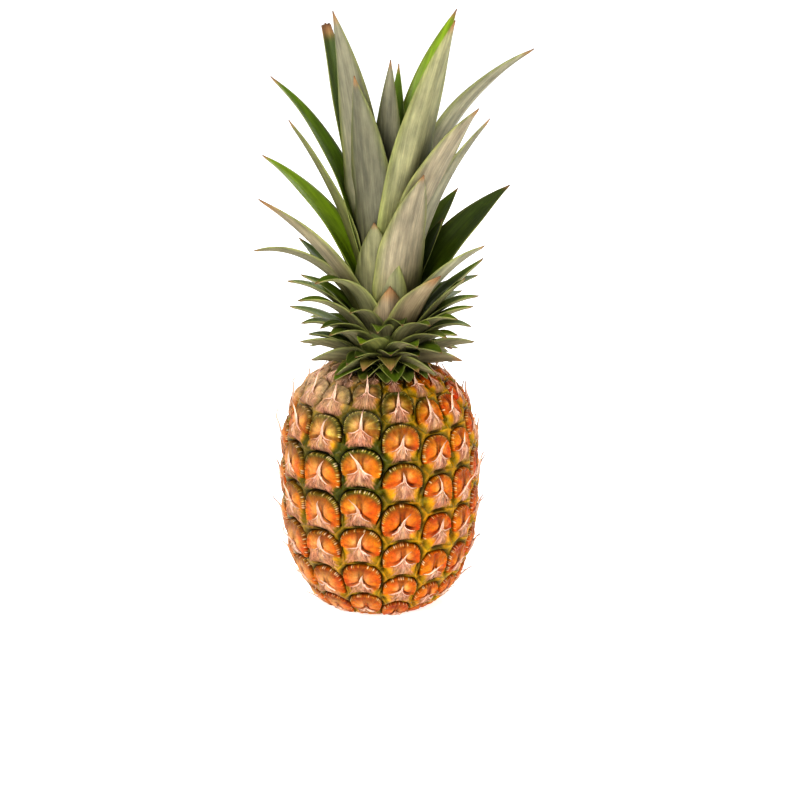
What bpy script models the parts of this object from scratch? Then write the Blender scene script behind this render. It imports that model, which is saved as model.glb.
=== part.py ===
"""A fresh pineapple with its crown of leaves, standing on the flat end it was cut at.

Metres, +Z up. -Y is the side towards the viewer and +X the viewer's right. The origin is the
centre of the flat base. A turn is an angle round the fruit in degrees, 0 towards the viewer and
90 to the right. A lean is the angle of a leaf above the horizontal.
"""

import math
import random
from typing import NamedTuple

import bmesh
import bpy
import numpy as np
from mathutils import Vector

MM = 0.001
GAP = 0.3 * MM  # clearance between neighbouring pieces

# Fruit: a barrel whose upper and lower halves are superellipses
FRUIT_RADIUS = 56 * MM
FRUIT_HEIGHT = 144 * MM
WIDEST_HEIGHT = 74 * MM
UPPER_POWER = 3.0
LOWER_POWER = 2.6
BASE_CUT = 0.90  # share of the lower half's depth at which the base is cut flat
SEAT_RADIUS = 22 * MM  # flat top on which the crown grows

# Eyes: 16 upright columns, each one lower than the last by 6/16 of an eye, so that they close
EYE_COLUMNS = 16
COLUMN_DROP = 6 / 16
EYE_HEIGHT = 23.5 * MM
EYE_SHRINK = 0.7  # how fast the eyes get smaller where the fruit narrows
FRONT_EYE_TURN = -10.5
FRONT_EYE_HEIGHT = 98.5 * MM
BROAD_SIDE_TURN = -50  # the side on which the eyes grew broadest
BROADENING = 0.18
COLUMN_LIFTS = {15: 0.40, 3: 0.34}  # columns that grew this share of an eye higher
EYE_SCATTER = 0.04  # unevenness of the eyes' places, as a share of an eye
LEAST_EYE = 1e-4  # a smaller share of an eye at the fruit's ends is left out
GROOVE_DEPTH = 1.2 * MM
SHOULDER = (0.80, 1.7 * MM)  # share of the eye's size, and rise above the rind
CREST = (0.50, 2.5 * MM)
BRACT_RISE = 0.8 * MM  # the lower half of an eye is raised by its dry bract
SPINE_FOOT = (0.17, 2.9 * MM)
SPINE_FOOT_DROP = 0.16  # the spine starts this share of an eye below its centre
SPINE_LENGTH = (8 * MM, 12 * MM)
SPINE_TILT = 26  # degrees out from the rind
SPINE_SHRINK = 2.5  # power by which spines get shorter with their eye
BASE_CLEARANCE = 0.6 * MM  # nothing but the flat base comes lower than this

# Cut stem in the base
STEM_RADIUS = 12 * MM
STEM_LENGTH = 9 * MM
STEM_SIDES = 32

# Crown: a short stem that the leaves grow from
CROWN_FOOT = FRUIT_HEIGHT - 0.7 * MM
CROWN_TOP = 214 * MM
CROWN_RADIUS = 18 * MM
CROWN_OFFSET = 4 * MM
CROWN_TILT = 1.0
CORE_SIDES = 20
CORE_RINGS = 7
LEAF_EDGE = 0.8 * MM
LEAF_MIDDLE = 1.5 * MM
LEAF_CHANNEL = 0.30  # rise of a leaf's edges, as a share of its half width
ROOT_DEPTH = 5 * MM
ROLLED_BY = 0.35  # share of a leaf's length over which it twists
NECK = 0.80  # narrowing of the crown's stem where it meets the fruit
NECK_HEIGHT = 6 * MM
GOLDEN_ANGLE = 137.5
LEAF_CLEARANCE = (4.5 * MM, 8 * MM)  # height of a drooping leaf over the fruit's top and shoulder
CLEARANCE_RADII = (25 * MM, 40 * MM)

SEED = 7


class Leaf(NamedTuple):
    """One leaf: direction, root height, length and width in millimetres, and its leans."""

    turn: float
    root: float
    length: float
    width: float
    foot: float
    tip: float
    late: float = 1.0  # above 1 the leaf bends near its tip, below 1 near its root
    roll: float = 0.0  # twist between root and tip
    torn: float = 1.0  # share of the length that is left on a broken leaf


TALL_LEAVES = (
    Leaf(-125, 196, 168, 19, 77, 74, 1.5, -15, torn=0.86),
    Leaf(-70, 192, 158, 28, 85, 74, 2.5, 45),
    Leaf(-38, 188, 128, 34, 86, 77),
    Leaf(-10, 204, 117, 20, 86, 108),
    Leaf(165, 204, 113, 16, 78, 84),
    Leaf(-165, 203, 100, 16, 72, 104),
    Leaf(144, 196, 162, 26, 88, 48, 1.0, 15),
    Leaf(34, 190, 168, 30, 88, 59, 0.7),
    Leaf(95, 190, 162, 25, 90, 28, 1.2, -40),
    Leaf(50, 186, 128, 28, 84, 45, 1.0, -15),
    Leaf(72, 180, 122, 22, 83, 50, 1.0, -10),
    Leaf(118, 176, 97, 28, 56, 32, 1.0, 12),
    Leaf(32, 176, 90, 33, 84, 62),
    Leaf(-105, 182, 143, 23, 84, 40, 1.4, -10),
    Leaf(-98, 182, 114, 19, 79, 54, 1.0, 25),
    Leaf(-110, 180, 108, 22, 73, 30, 1.0, -10),
    Leaf(-72, 174, 97, 22, 63, 35, 1.0, 15),
    Leaf(-22, 166, 66, 34, 84, 86),
    Leaf(180, 186, 118, 24, 70, 38),
    Leaf(163, 184, 116, 22, 70, 40),
    Leaf(-160, 184, 112, 22, 70, 42),
    Leaf(140, 180, 80, 22, 62, 34),
    Leaf(-140, 178, 76, 22, 60, 32),
)

SHORT_LEAVES = (
    Leaf(6, 152, 44, 26, 76, 88),
    Leaf(-88, 168, 84, 21, 65, -11, 1.5, 20),
    Leaf(-125, 172, 65, 18, 40, 35),
    Leaf(-52, 162, 62, 23, 86, -18, 1.5),
    Leaf(-100, 164, 50, 18, 54, 19, 1.5),
    Leaf(-80, 160, 60, 19, 62, 5, 1.5),
    Leaf(-62, 156, 58, 20, 65, -5, 1.5),
    Leaf(-95, 154, 50, 17, 46, 8, 1.2),
    Leaf(-70, 151, 47, 18, 57, -10, 1.5),
    Leaf(-85, 149, 36, 16, 44, 0, 1.2),
    Leaf(75, 168, 68, 23, 67, 30, 1.0, -15),
    Leaf(95, 164, 60, 20, 49, 41),
    Leaf(82, 160, 49, 19, 58, 41),
    Leaf(42, 162, 54, 27, 70, 37),
    Leaf(125, 182, 52, 18, 60, 56),
    Leaf(88, 158, 50, 19, 59, 6, 1.2),
    Leaf(70, 154, 50, 18, 59, 11, 1.2),
    Leaf(78, 151, 44, 18, 58, -20, 1.5),
    Leaf(60, 149, 40, 17, 56, -5, 1.3),
    Leaf(-42, 152, 42, 19, 60, -15, 1.4),
    Leaf(-18, 150, 40, 20, 56, -10, 1.4),
    Leaf(22, 150, 38, 19, 52, -10, 1.4),
    Leaf(44, 151, 42, 18, 56, -12, 1.4),
)

# Leaves that follow the plant's own rule, from the upper ones at the back down to the collar
RULE_LEAVES = 64
RULE_ROOTS = (180, 146)
RULE_LENGTHS = (70, 28)
RULE_WIDTHS = (22, 17)
RULE_FOOT_LEANS = (62, 2)
RULE_TIP_LEANS = (38, -30)
BACK_ONLY_ABOVE = 156  # higher than this the front is given by the leaves listed above
LEAST_TURN_APART = 13
LEAST_ROOT_APART = 4


def material(name, colour, roughness):
    made = bpy.data.materials.new(name)
    made.use_nodes = True
    shader = made.node_tree.nodes["Principled BSDF"]
    shader.inputs["Base Color"].default_value = (*colour, 1)
    shader.inputs["Roughness"].default_value = roughness
    shader.inputs["Metallic"].default_value = 0
    made.diffuse_color = (*colour, 1)
    return made


def object_from(name, mesh_maker, collection=None):
    mesh = bpy.data.meshes.new(name)
    mesh_maker.normal_update()
    mesh_maker.to_mesh(mesh)
    mesh_maker.free()
    made = bpy.data.objects.new(name, mesh)
    (collection or bpy.context.scene.collection).objects.link(made)
    return made


def finish(made, slot, sharp_angle=35):
    made.data.materials.clear()
    made.data.materials.append(slot)
    made.data.shade_smooth()
    made.data.set_sharp_from_angle(angle=math.radians(sharp_angle))


def towards(turn):
    return Vector((math.sin(math.radians(turn)), -math.cos(math.radians(turn)), 0))


class Rind:
    """The smooth body under the eyes, addressed by column and row of the eye pattern."""

    def __init__(self, samples=400):
        lowest = math.asin(BASE_CUT ** (LOWER_POWER / 2))
        down = np.linspace(-lowest, 0, samples)
        highest = math.acos((SEAT_RADIUS / FRUIT_RADIUS) ** (UPPER_POWER / 2))
        up = np.linspace(0, highest, samples)[1:]
        below = WIDEST_HEIGHT / BASE_CUT * np.sin(-down) ** (2 / LOWER_POWER)
        above = (FRUIT_HEIGHT - WIDEST_HEIGHT) * np.sin(up) ** (2 / UPPER_POWER)
        self.height = WIDEST_HEIGHT + np.concatenate([-below, above])
        self.radius = FRUIT_RADIUS * np.concatenate(
            [np.cos(down) ** (2 / LOWER_POWER), np.cos(up) ** (2 / UPPER_POWER)]
        )
        step = np.hypot(np.diff(self.height), np.diff(self.radius))
        size = EYE_HEIGHT * ((self.radius[1:] + self.radius[:-1]) / 2 / FRUIT_RADIUS) ** EYE_SHRINK
        self.row = np.concatenate([[0], np.cumsum(step / size)])
        self.front_row = float(np.interp(FRONT_EYE_HEIGHT, self.height, self.row))
        self.rows = float(self.row[-1])

    def at(self, row):
        """Radius and height at a row."""
        return (
            float(np.interp(row, self.row, self.radius)),
            float(np.interp(row, self.row, self.height)),
        )

    def upward(self, row, reach=0.05):
        """Unit direction up the rind, as (outward, up)."""
        low = self.at(max(row - reach, 0))
        high = self.at(min(row + reach, self.rows))
        along = Vector((high[0] - low[0], high[1] - low[1]))
        return along.normalized()

    def point(self, column, row, out=0.0, up=0.0):
        """A point of the pattern, moved out of the rind and up along it."""
        radius, height = self.at(row)
        along = self.upward(row)
        away = towards(column_turn(column))
        radius += out * along.y + up * along.x
        height += up * along.y - out * along.x
        return away * radius + Vector((0, 0, height))


def column_turn(column):
    """Turn of a column; the columns stand wider apart on the broad side."""
    even = column * 360 / EYE_COLUMNS
    return even + math.degrees(BROADENING) * math.sin(math.radians(even - BROAD_SIDE_TURN)) + FIRST_TURN


FIRST_TURN = FRONT_EYE_TURN - math.degrees(BROADENING) * math.sin(math.radians(-BROAD_SIDE_TURN))


def eye_centres(rind, draw):
    """Every eye's column and row, with a margin of eyes beyond both ends of the fruit."""
    centres = []
    for column in range(EYE_COLUMNS):
        first = (rind.front_row - COLUMN_DROP * column + COLUMN_LIFTS.get(column, 0)) % 1 - 2
        for step in range(math.ceil(rind.rows) + 4):
            places = column, first + step
            centres.append(tuple(place + draw.uniform(-EYE_SCATTER, EYE_SCATTER) for place in places))
    return centres


def clipped(polygon, middle, away):
    """The part of a polygon on this side of the line through middle, square to away."""
    kept = []
    sides = [(p[0] - middle[0]) * away[0] + (p[1] - middle[1]) * away[1] for p in polygon]
    for i, (point, side) in enumerate(zip(polygon, sides)):
        after = polygon[(i + 1) % len(polygon)]
        side_after = sides[(i + 1) % len(polygon)]
        if side <= 0:
            kept.append(point)
        if (side < 0 < side_after) or (side_after < 0 < side):
            share = side / (side - side_after)
            kept.append(tuple(p + share * (q - p) for p, q in zip(point, after)))
    return kept


def cell(centre, centres):
    """The region nearer to this eye than to any other, as corners in columns and rows."""
    pitch = 2 * math.pi * FRUIT_RADIUS / EYE_COLUMNS
    reach = 1.3
    polygon = [
        (centre[0] + across * reach, centre[1] + up * reach)
        for across, up in ((-1, -1), (1, -1), (1, 1), (-1, 1))
    ]
    for other in centres:
        across = (other[0] - centre[0] + EYE_COLUMNS / 2) % EYE_COLUMNS - EYE_COLUMNS / 2
        up = other[1] - centre[1]
        if max(abs(across), abs(up)) > 2 * reach or (across, up) == (0, 0):
            continue
        middle = (centre[0] + across / 2, centre[1] + up / 2)
        polygon = clipped(polygon, middle, (across * pitch**2, up * EYE_HEIGHT**2))
    return polygon


def area(polygon):
    pairs = zip(polygon, polygon[1:] + polygon[:1])
    return abs(sum(c0 * r1 - c1 * r0 for (c0, r0), (c1, r1) in pairs)) / 2


def add_eye(body, rind, centre, polygon, share, spine):
    """One eye: rings of vertices from its groove to its spine's foot, then the spine."""

    def ring(scale, rise, drop=0.0):
        points = []
        for column, row in polygon:
            low = max(0.0, (centre[1] - row) / 0.5)
            place = (
                centre[0] + (column - centre[0]) * scale,
                centre[1] - drop + (row - centre[1]) * scale,
            )
            out = (rise + (BRACT_RISE * min(low, 1) if rise > 0 else 0)) * share
            point = rind.point(*place, out=out)
            point.z = max(point.z, BASE_CLEARANCE)
            points.append(body.verts.new(point))
        return points

    at_end = [min(row, rind.rows - row) < 1e-6 for _, row in polygon]
    edge_depth = [0 if end else -GROOVE_DEPTH for end in at_end]
    groove = [
        body.verts.new(rind.point(column, row, out=depth))
        for (column, row), depth in zip(polygon, edge_depth)
    ]
    rings = [groove, ring(*SHOULDER), ring(*CREST), ring(*SPINE_FOOT, drop=SPINE_FOOT_DROP * share)]
    count = len(polygon)
    for outer, inner in zip(rings, rings[1:]):
        for i in range(count):
            body.faces.new((outer[i], outer[(i + 1) % count], inner[(i + 1) % count], inner[i]))
    tilt = math.radians(SPINE_TILT)
    tip = rind.point(
        centre[0],
        centre[1] - SPINE_FOOT_DROP * share,
        out=SPINE_FOOT[1] * share + spine * math.sin(tilt),
        up=spine * math.cos(tilt),
    )
    tip.z = max(tip.z, BASE_CLEARANCE)
    top = body.verts.new(tip)
    for i in range(count):
        body.faces.new((rings[-1][i], rings[-1][(i + 1) % count], top))


def make_fruit(slot):
    rind = Rind()
    draw = random.Random(SEED)
    centres = eye_centres(rind, draw)
    body = bmesh.new()
    for centre in centres:
        polygon = cell(centre, centres)
        whole = area(polygon)
        polygon = clipped(polygon, (0, 0), (0, -1))
        if polygon:
            polygon = clipped(polygon, (0, rind.rows), (0, 1))
        if not polygon or area(polygon) < LEAST_EYE * whole:
            continue
        part = area(polygon) / whole
        if part < 0.98:
            centre = tuple(sum(p[k] for p in polygon) / len(polygon) for k in (0, 1))
        size = (rind.at(centre[1])[0] / FRUIT_RADIUS) ** EYE_SHRINK
        share = size * math.sqrt(part)
        spine = draw.uniform(*SPINE_LENGTH) * (size**SPINE_SHRINK if part > 0.6 else 0.12)
        add_eye(body, rind, centre, polygon, share, spine)
    bmesh.ops.remove_doubles(body, verts=body.verts, dist=0.02 * MM)
    open_edges = [edge for edge in body.edges if edge.is_boundary]
    bmesh.ops.holes_fill(body, edges=open_edges, sides=0)
    bmesh.ops.recalc_face_normals(body, faces=body.faces)
    fruit = object_from("fruit", body)
    finish(fruit, slot)

    socket = bmesh.new()
    bmesh.ops.create_cone(
        socket,
        cap_ends=True,
        segments=STEM_SIDES,
        radius1=STEM_RADIUS + GAP,
        radius2=STEM_RADIUS + GAP,
        depth=2 * (STEM_LENGTH + GAP),
    )
    cutter = object_from("stem_socket", socket)
    cutter.hide_render = True
    cutter.display_type = "WIRE"
    cut = fruit.modifiers.new("stem socket", "BOOLEAN")
    cut.operation = "DIFFERENCE"
    cut.object = cutter
    return fruit


def make_cut_stem(slot):
    stem = bmesh.new()
    bmesh.ops.create_cone(
        stem,
        cap_ends=True,
        segments=STEM_SIDES,
        radius1=STEM_RADIUS,
        radius2=STEM_RADIUS,
        depth=STEM_LENGTH,
    )
    bmesh.ops.translate(stem, verts=stem.verts, vec=(0, 0, STEM_LENGTH / 2))
    made = object_from("cut_stem", stem)
    finish(made, slot)
    return made


def core_radius(height):
    share = (height - CROWN_FOOT) / (CROWN_TOP - CROWN_FOOT)
    neck = min(1, NECK + (1 - NECK) * (height - CROWN_FOOT) / NECK_HEIGHT)
    return neck * CROWN_RADIUS * math.sqrt(max(0.0, 1 - share**2.2)) + 1 * MM


def core_centre(height):
    shift = (height - CROWN_FOOT) * math.tan(math.radians(CROWN_TILT))
    return Vector((CROWN_OFFSET + shift, 0, height))


def leaf_width(share):
    """Share of the full width along a leaf: a clasping foot, a long even stretch and a point."""
    if share < 0.22:
        rise = share / 0.22
        return 0.8 + 0.2 * rise * rise * (3 - 2 * rise)
    return 1 - ((share - 0.22) / 0.78) ** 2.2


def leaf_frames(leaf, steps):
    """Centre, side and inward direction at each step along a leaf."""
    root = leaf.root * MM
    away = towards(leaf.turn)
    centre = core_centre(root) + away * max(core_radius(root) - ROOT_DEPTH, 1 * MM)
    side = Vector((-away.y, away.x, 0))
    length = leaf.length * MM * leaf.torn
    frames = []
    for step in range(steps + 1):
        share = step / steps * leaf.torn
        lean = math.radians(leaf.foot + (leaf.tip - leaf.foot) * share**leaf.late)
        inward = Vector((0, 0, math.cos(lean))) - away * math.sin(lean)
        roll = math.radians(leaf.roll * min(1, share / ROLLED_BY))
        frames.append(
            (
                share,
                centre.copy(),
                side * math.cos(roll) + inward * math.sin(roll),
                inward * math.cos(roll) - side * math.sin(roll),
            )
        )
        middle = (step + 0.5) / steps * leaf.torn
        lean = math.radians(leaf.foot + (leaf.tip - leaf.foot) * middle**leaf.late)
        centre += (away * math.cos(lean) + Vector((0, 0, math.sin(lean)))) * length / steps
        radius = centre.xy.length
        clearance = float(np.interp(radius, CLEARANCE_RADII, LEAF_CLEARANCE))
        centre.z = max(centre.z, shoulder_height(radius) + clearance)
    return frames


def shoulder_height(radius):
    """Height of the rind's upper half at a distance from the axis."""
    share = min(radius / FRUIT_RADIUS, 1) ** UPPER_POWER
    return WIDEST_HEIGHT + (FRUIT_HEIGHT - WIDEST_HEIGHT) * (1 - share) ** (1 / UPPER_POWER)


def leaf_object(name, leaf, collection):
    """A channelled blade: six points a section, closed at the root, pointed or torn at the tip."""
    steps = max(4, round(leaf.length / 19))
    blade = bmesh.new()
    sections = []
    frames = leaf_frames(leaf, steps)
    for share, centre, side, inward in frames[: steps + (leaf.torn < 1)]:
        half = leaf.width * MM / 2 * leaf_width(share)
        rise = inward * half * LEAF_CHANNEL
        thin = 1 - 0.35 * share
        edge = inward * LEAF_EDGE * thin
        middle = inward * LEAF_MIDDLE * thin
        points = (
            centre - side * half + rise,
            centre + middle * 0,
            centre + side * half + rise,
            centre + side * half + rise - edge,
            centre - middle,
            centre - side * half + rise - edge,
        )
        sections.append([blade.verts.new(point) for point in points])
    for low, high in zip(sections, sections[1:]):
        for i in range(6):
            blade.faces.new((low[i], low[(i + 1) % 6], high[(i + 1) % 6], high[i]))
    blade.faces.new(sections[0])
    if leaf.torn < 1:
        blade.faces.new(sections[-1])
    else:
        tip = blade.verts.new(frames[-1][1])
        for i in range(6):
            blade.faces.new((sections[-1][i], sections[-1][(i + 1) % 6], tip))
    bmesh.ops.recalc_face_normals(blade, faces=blade.faces)
    bmesh.ops.triangulate(blade, faces=blade.faces)
    return object_from(name, blade, collection)


def rule_leaves():
    """Leaves a golden angle apart, lower, shorter and flatter one after another."""
    draw = random.Random(SEED)
    listed = TALL_LEAVES + SHORT_LEAVES
    leaves = []
    for number in range(RULE_LEAVES):
        share = math.sqrt(number / (RULE_LEAVES - 1))

        def between(ends, spread=0.0):
            return ends[0] + (ends[1] - ends[0]) * share + draw.uniform(-spread, spread)

        turn = (number * GOLDEN_ANGLE + draw.uniform(-6, 6)) % 360 - 180
        root = between(RULE_ROOTS)
        leaf = Leaf(
            turn,
            root,
            between(RULE_LENGTHS, 4),
            between(RULE_WIDTHS, 1.5),
            between(RULE_FOOT_LEANS, 4),
            between(RULE_TIP_LEANS, 8),
            1.3,
        )
        in_front = abs(turn) < 115
        taken = any(
            abs((turn - other.turn + 180) % 360 - 180) < LEAST_TURN_APART
            and abs(root - other.root) < LEAST_ROOT_APART
            for other in listed
        )
        if not taken and not (in_front and root > BACK_ONLY_ABOVE):
            leaves.append(leaf)
    return leaves


def make_crown(slot):
    core = bmesh.new()
    rings = []
    for ring in range(CORE_RINGS):
        share = ring / CORE_RINGS
        height = CROWN_FOOT + (CROWN_TOP - CROWN_FOOT) * math.sin(share * math.pi / 2)
        points = [
            core_centre(height) + towards(side * 360 / CORE_SIDES) * core_radius(height)
            for side in range(CORE_SIDES)
        ]
        rings.append([core.verts.new(point) for point in points])
    for low, high in zip(rings, rings[1:]):
        for i in range(CORE_SIDES):
            core.faces.new((low[i], low[(i + 1) % CORE_SIDES], high[(i + 1) % CORE_SIDES], high[i]))
    core.faces.new(rings[0])
    top = core.verts.new(core_centre(CROWN_TOP))
    for i in range(CORE_SIDES):
        core.faces.new((rings[-1][i], rings[-1][(i + 1) % CORE_SIDES], top))
    bmesh.ops.recalc_face_normals(core, faces=core.faces)
    crown = object_from("crown", core)

    collection = bpy.data.collections.new("leaves")
    bpy.context.scene.collection.children.link(collection)
    leaves = list(TALL_LEAVES + SHORT_LEAVES) + rule_leaves()
    for number, leaf in enumerate(leaves):
        leaf_object(f"leaf_{number}", leaf, collection)
    union = crown.modifiers.new("leaves", "BOOLEAN")
    union.operation = "UNION"
    union.operand_type = "COLLECTION"
    union.collection = collection
    union.solver = "EXACT"
    apply_modifiers(crown)
    for blade in list(collection.objects):
        bpy.data.objects.remove(blade)
    bpy.data.collections.remove(collection)
    finish(crown, slot)
    return crown


def apply_modifiers(made):
    """Bakes the union and keeps its outer skin: pockets sealed between leaves are filled."""
    graph = bpy.context.evaluated_depsgraph_get()
    joined = bpy.data.meshes.new_from_object(made.evaluated_get(graph))
    made.modifiers.clear()
    skin = bmesh.new()
    skin.from_mesh(joined)
    unseen = set(skin.verts)
    islands = []
    while unseen:
        island = {unseen.pop()}
        edge_of_island = list(island)
        while edge_of_island:
            vertex = edge_of_island.pop()
            found = {edge.other_vert(vertex) for edge in vertex.link_edges} & unseen
            unseen -= found
            island |= found
            edge_of_island.extend(found)
        islands.append(island)
    islands.sort(key=len)
    for island in islands[:-1]:
        bmesh.ops.delete(skin, geom=list(island), context="VERTS")
    skin.to_mesh(joined)
    skin.free()
    made.data = joined


def main():
    for made in list(bpy.data.objects):
        bpy.data.objects.remove(made)
    make_fruit(material("rind", (0.60, 0.36, 0.10), 0.5))
    make_crown(material("leaf", (0.22, 0.28, 0.12), 0.55))
    make_cut_stem(material("cut_stem", (0.66, 0.55, 0.36), 0.85))


main()
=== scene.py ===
"""The looks of a fresh pineapple: fine rind with eyes, bracts and spines, a leafy crown, a cut stem.

Metres, +Z up, -Y towards the viewer, origin at the centre of the flat base. A turn is an angle
round the fruit in degrees, 0 towards the viewer and 90 to the right. A lean is the angle of a
leaf above the horizontal. Colours are written as sRGB values from 0 to 255.
"""

import math
import random
from typing import NamedTuple

import bmesh
import bpy
import numpy as np
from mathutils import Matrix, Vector


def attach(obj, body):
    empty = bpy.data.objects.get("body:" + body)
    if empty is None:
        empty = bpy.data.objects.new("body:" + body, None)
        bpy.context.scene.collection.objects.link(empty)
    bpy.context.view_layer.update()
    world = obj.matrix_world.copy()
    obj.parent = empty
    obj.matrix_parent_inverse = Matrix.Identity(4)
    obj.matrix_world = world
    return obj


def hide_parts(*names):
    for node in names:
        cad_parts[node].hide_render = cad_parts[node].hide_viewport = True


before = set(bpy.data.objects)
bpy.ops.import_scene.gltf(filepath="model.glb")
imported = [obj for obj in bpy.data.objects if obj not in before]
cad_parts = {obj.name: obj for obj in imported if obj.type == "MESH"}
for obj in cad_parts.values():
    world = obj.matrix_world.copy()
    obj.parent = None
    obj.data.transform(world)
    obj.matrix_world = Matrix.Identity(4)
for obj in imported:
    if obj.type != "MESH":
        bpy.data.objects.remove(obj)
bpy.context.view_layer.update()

MM = 0.001
SEED = 7
LEAST = 1e-6  # a length or share below this counts as none

# Fruit, as the solid model has it
FRUIT_RADIUS = 56 * MM
FRUIT_HEIGHT = 144 * MM
WIDEST_HEIGHT = 74 * MM
UPPER_POWER = 3.0
LOWER_POWER = 2.6
BASE_CUT = 0.90
SEAT_RADIUS = 22 * MM
EYE_COLUMNS = 16
COLUMN_DROP = 6 / 16
EYE_HEIGHT = 23.5 * MM
EYE_SHRINK = 0.7
FRONT_EYE_TURN = -10.5
FRONT_EYE_HEIGHT = 98.5 * MM
BROAD_SIDE_TURN = -50
BROADENING = 0.18
COLUMN_LIFTS = {15: 0.40, 3: 0.34}
EYE_SCATTER = 0.04
LEAST_EYE = 1e-4
UNCUT_SHARE = 0.98  # share of its cell from which an eye keeps its own centre
WHOLE_SHARE = 0.6  # and from which it has a bract and a full spine
CUT_EYE_SPINE = 0.12
SPINE_LENGTH = (8 * MM, 12 * MM)
SPINE_SHRINK = 2.5
SPINE_REACH = 7.4 * MM
BASE_CLEARANCE = 0.6 * MM
EYE_PITCH = 2 * math.pi * FRUIT_RADIUS / EYE_COLUMNS

# Fine surface of the eyes; rises are in metres above the smooth rind
BEAD = 1.5 * MM
BEAD_POINTS = 3
OUTLINE_POWER = 3.4  # how round a dome is inside the corners of its cell
OUTER_RINGS = (1.0, 0.975, 0.945, 0.91, 0.87, 0.82)
INNER_RINGS = (0.76, 0.69, 0.62, 0.55, 0.48, 0.41, 0.34, 0.27, 0.20, 0.13, 0.07)
DOME_EDGE = 1.001  # just outside the outer ring of a dome
SCALLOP = 0.988  # the dome's outline is drawn in between its beads
BORDER_RISE = -1.7 * MM
CORNER_RISE = 3.8 * MM  # the apron runs on between the domes below it
CORNER_REACH = 4.2 * MM
OPEN_GAP = (0.3 * MM, 1.3 * MM)  # from a closed groove to the apron's continuation
APRON_ANGLES = (math.radians(100), math.radians(135))  # from straight up to where the apron is
BETWEEN = 0.4  # place of the ring between a dome and its cell's border
BETWEEN_RISE = 0.75
DOME_PROFILE = (  # place from the centre to the dome's edge, and rise in millimetres
    (0.0, 1.6),
    (0.15, 2.1),
    (0.35, 2.8),
    (0.55, 2.7),
    (0.72, 2.15),
    (0.80, 1.85),
    (0.86, 1.95),
    (0.905, 1.85),
    (0.945, 1.2),
    (0.975, -0.3),
    (1.0, -2.2),
)
RIM_PLACE = 0.93
BEAD_RISE = 0.24 * MM
BEAD_SCATTER = 0.22
ROLL_RISE = 0.45 * MM  # a ripe dome is fuller towards its rim
FOLDS = 13
FOLD_RISE = 0.26 * MM
APRON_RISE = 4.7 * MM
APRON_POWER = 5  # the apron stays high and falls steeply at its edge
MIDRIB_RISE = 0.8 * MM
FIBRE_RISE = 0.22 * MM
APEX = (-0.04, 0.10)  # where the bract's free edge meets the spine, in shares of the eye
ARM_BEND = 0.10
ARM_DIP = (0.12, 0.28)
ARM_SLOPE = (-0.15, 0.35)
ARM_POINTS = 15
LOBE = (0.16, 0.11, 0.06, 0.13)  # place and size of the two swellings beside the spine
LOBE_RISE = 1.0 * MM
LOBE_SHARES = (1.15, 0.4)  # the two sides of an eye are seldom alike
CREASE = (0.18, 0.14, 0.055, 0.042)
CREASE_SHARES = (0.2, 1.05)
CREASE_DEPTH = 1.6 * MM
HOLLOW_DEPTH = 0.7 * MM
STRANDS = 7
STRAND_POINTS = 9
SPINE_STEPS = 12
SPINE_SECTION = (  # place across the blade, height in the fold, depth behind its face
    (-1, 0, 0),
    (-0.45, 0.35, 0),
    (0, 1, 0),
    (0.45, 0.35, 0),
    (1, 0, 0),
    (0.45, 0.35, 1),
    (0, 1, 1.4),
    (-0.45, 0.35, 1),
)
RIDGE_SECTION = (  # place across the ridge, height in it, millimetres sunk, how pale
    (-1.8, 0, 0.25, 0),
    (-0.3, 0.9, 0, 0.5),
    (0.5, 1.0, 0, 1),
    (1.0, 0, 0.5, 0.2),
    (-0.2, 0, 1.0, 0),
)

# Crown, as the solid model has it
CROWN_FOOT = FRUIT_HEIGHT - 0.7 * MM
CROWN_TOP = 214 * MM
CROWN_RADIUS = 18 * MM
CROWN_OFFSET = 4 * MM
CROWN_TILT = 1.0
NECK = 0.80
NECK_HEIGHT = 6 * MM
LEAF_EDGE = 0.55 * MM
LEAF_MIDDLE = 1.5 * MM
LEAF_CHANNEL = 0.30
WIDEST_BY = 0.22
ROOT_DEPTH = 5 * MM
ROLLED_BY = 0.35
GOLDEN_ANGLE = 137.5
CLEARANCE_RADII = (25 * MM, 40 * MM)  # a leaf clears the rind by more, the farther out it is
LEAF_CLEARANCE = (4.5 * MM, 8 * MM)

# Fine surface of the leaves
LEAF_STEP = 2.2 * MM
HALF_SECTION = 5
CORE_RINGS = 25
FRONT_CLEARANCE = (2.5 * MM, 4.5 * MM)
FOOT_CLEARANCE = (1.0 * MM, 2.2 * MM)

# Cut base and stem
STEM_RADIUS = 12 * MM
STEM_LENGTH = 9 * MM
GAP = 0.3 * MM
BASE_RINGS = (0.12, 0.26, 0.40, 0.54, 0.68, 0.82)
BASE_HOLLOW = 0.35 * MM
STEM_PROFILE = (  # radius and height, from the middle of the cut end to that of the upper end
    (0.6, 0.35),
    (2.5, 0.30),
    (5.0, 0.22),
    (7.5, 0.14),
    (9.8, 0.05),
    (11.3, 0.0),
    (11.8, 0.2),
    (12.0, 0.7),
    (12.0, 3.0),
    (12.0, 5.8),
    (12.0, 8.6),
    (11.7, 9.0),
    (0.6, 9.0),
)
UNEVEN_FROM = 11.5  # the stem's wall is uneven, its two flat ends are not
BANDS = ("rind_foot", "rind_lower", "rind_upper", "rind_shoulder")
WELD = 0.02 * MM


def colour(red, green, blue):
    """Linear colour from sRGB values of 0 to 255."""
    parts = np.array([red, green, blue]) / 255
    return np.where(parts <= 0.04045, parts / 12.92, ((parts + 0.055) / 1.055) ** 2.4)


def mixed(under, over, share):
    """Colours blended vertex by vertex; share is from 0, under, to 1, over."""
    share = np.clip(np.asarray(share, float), 0, 1)[..., None]
    return under * (1 - share) + over * share


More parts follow.
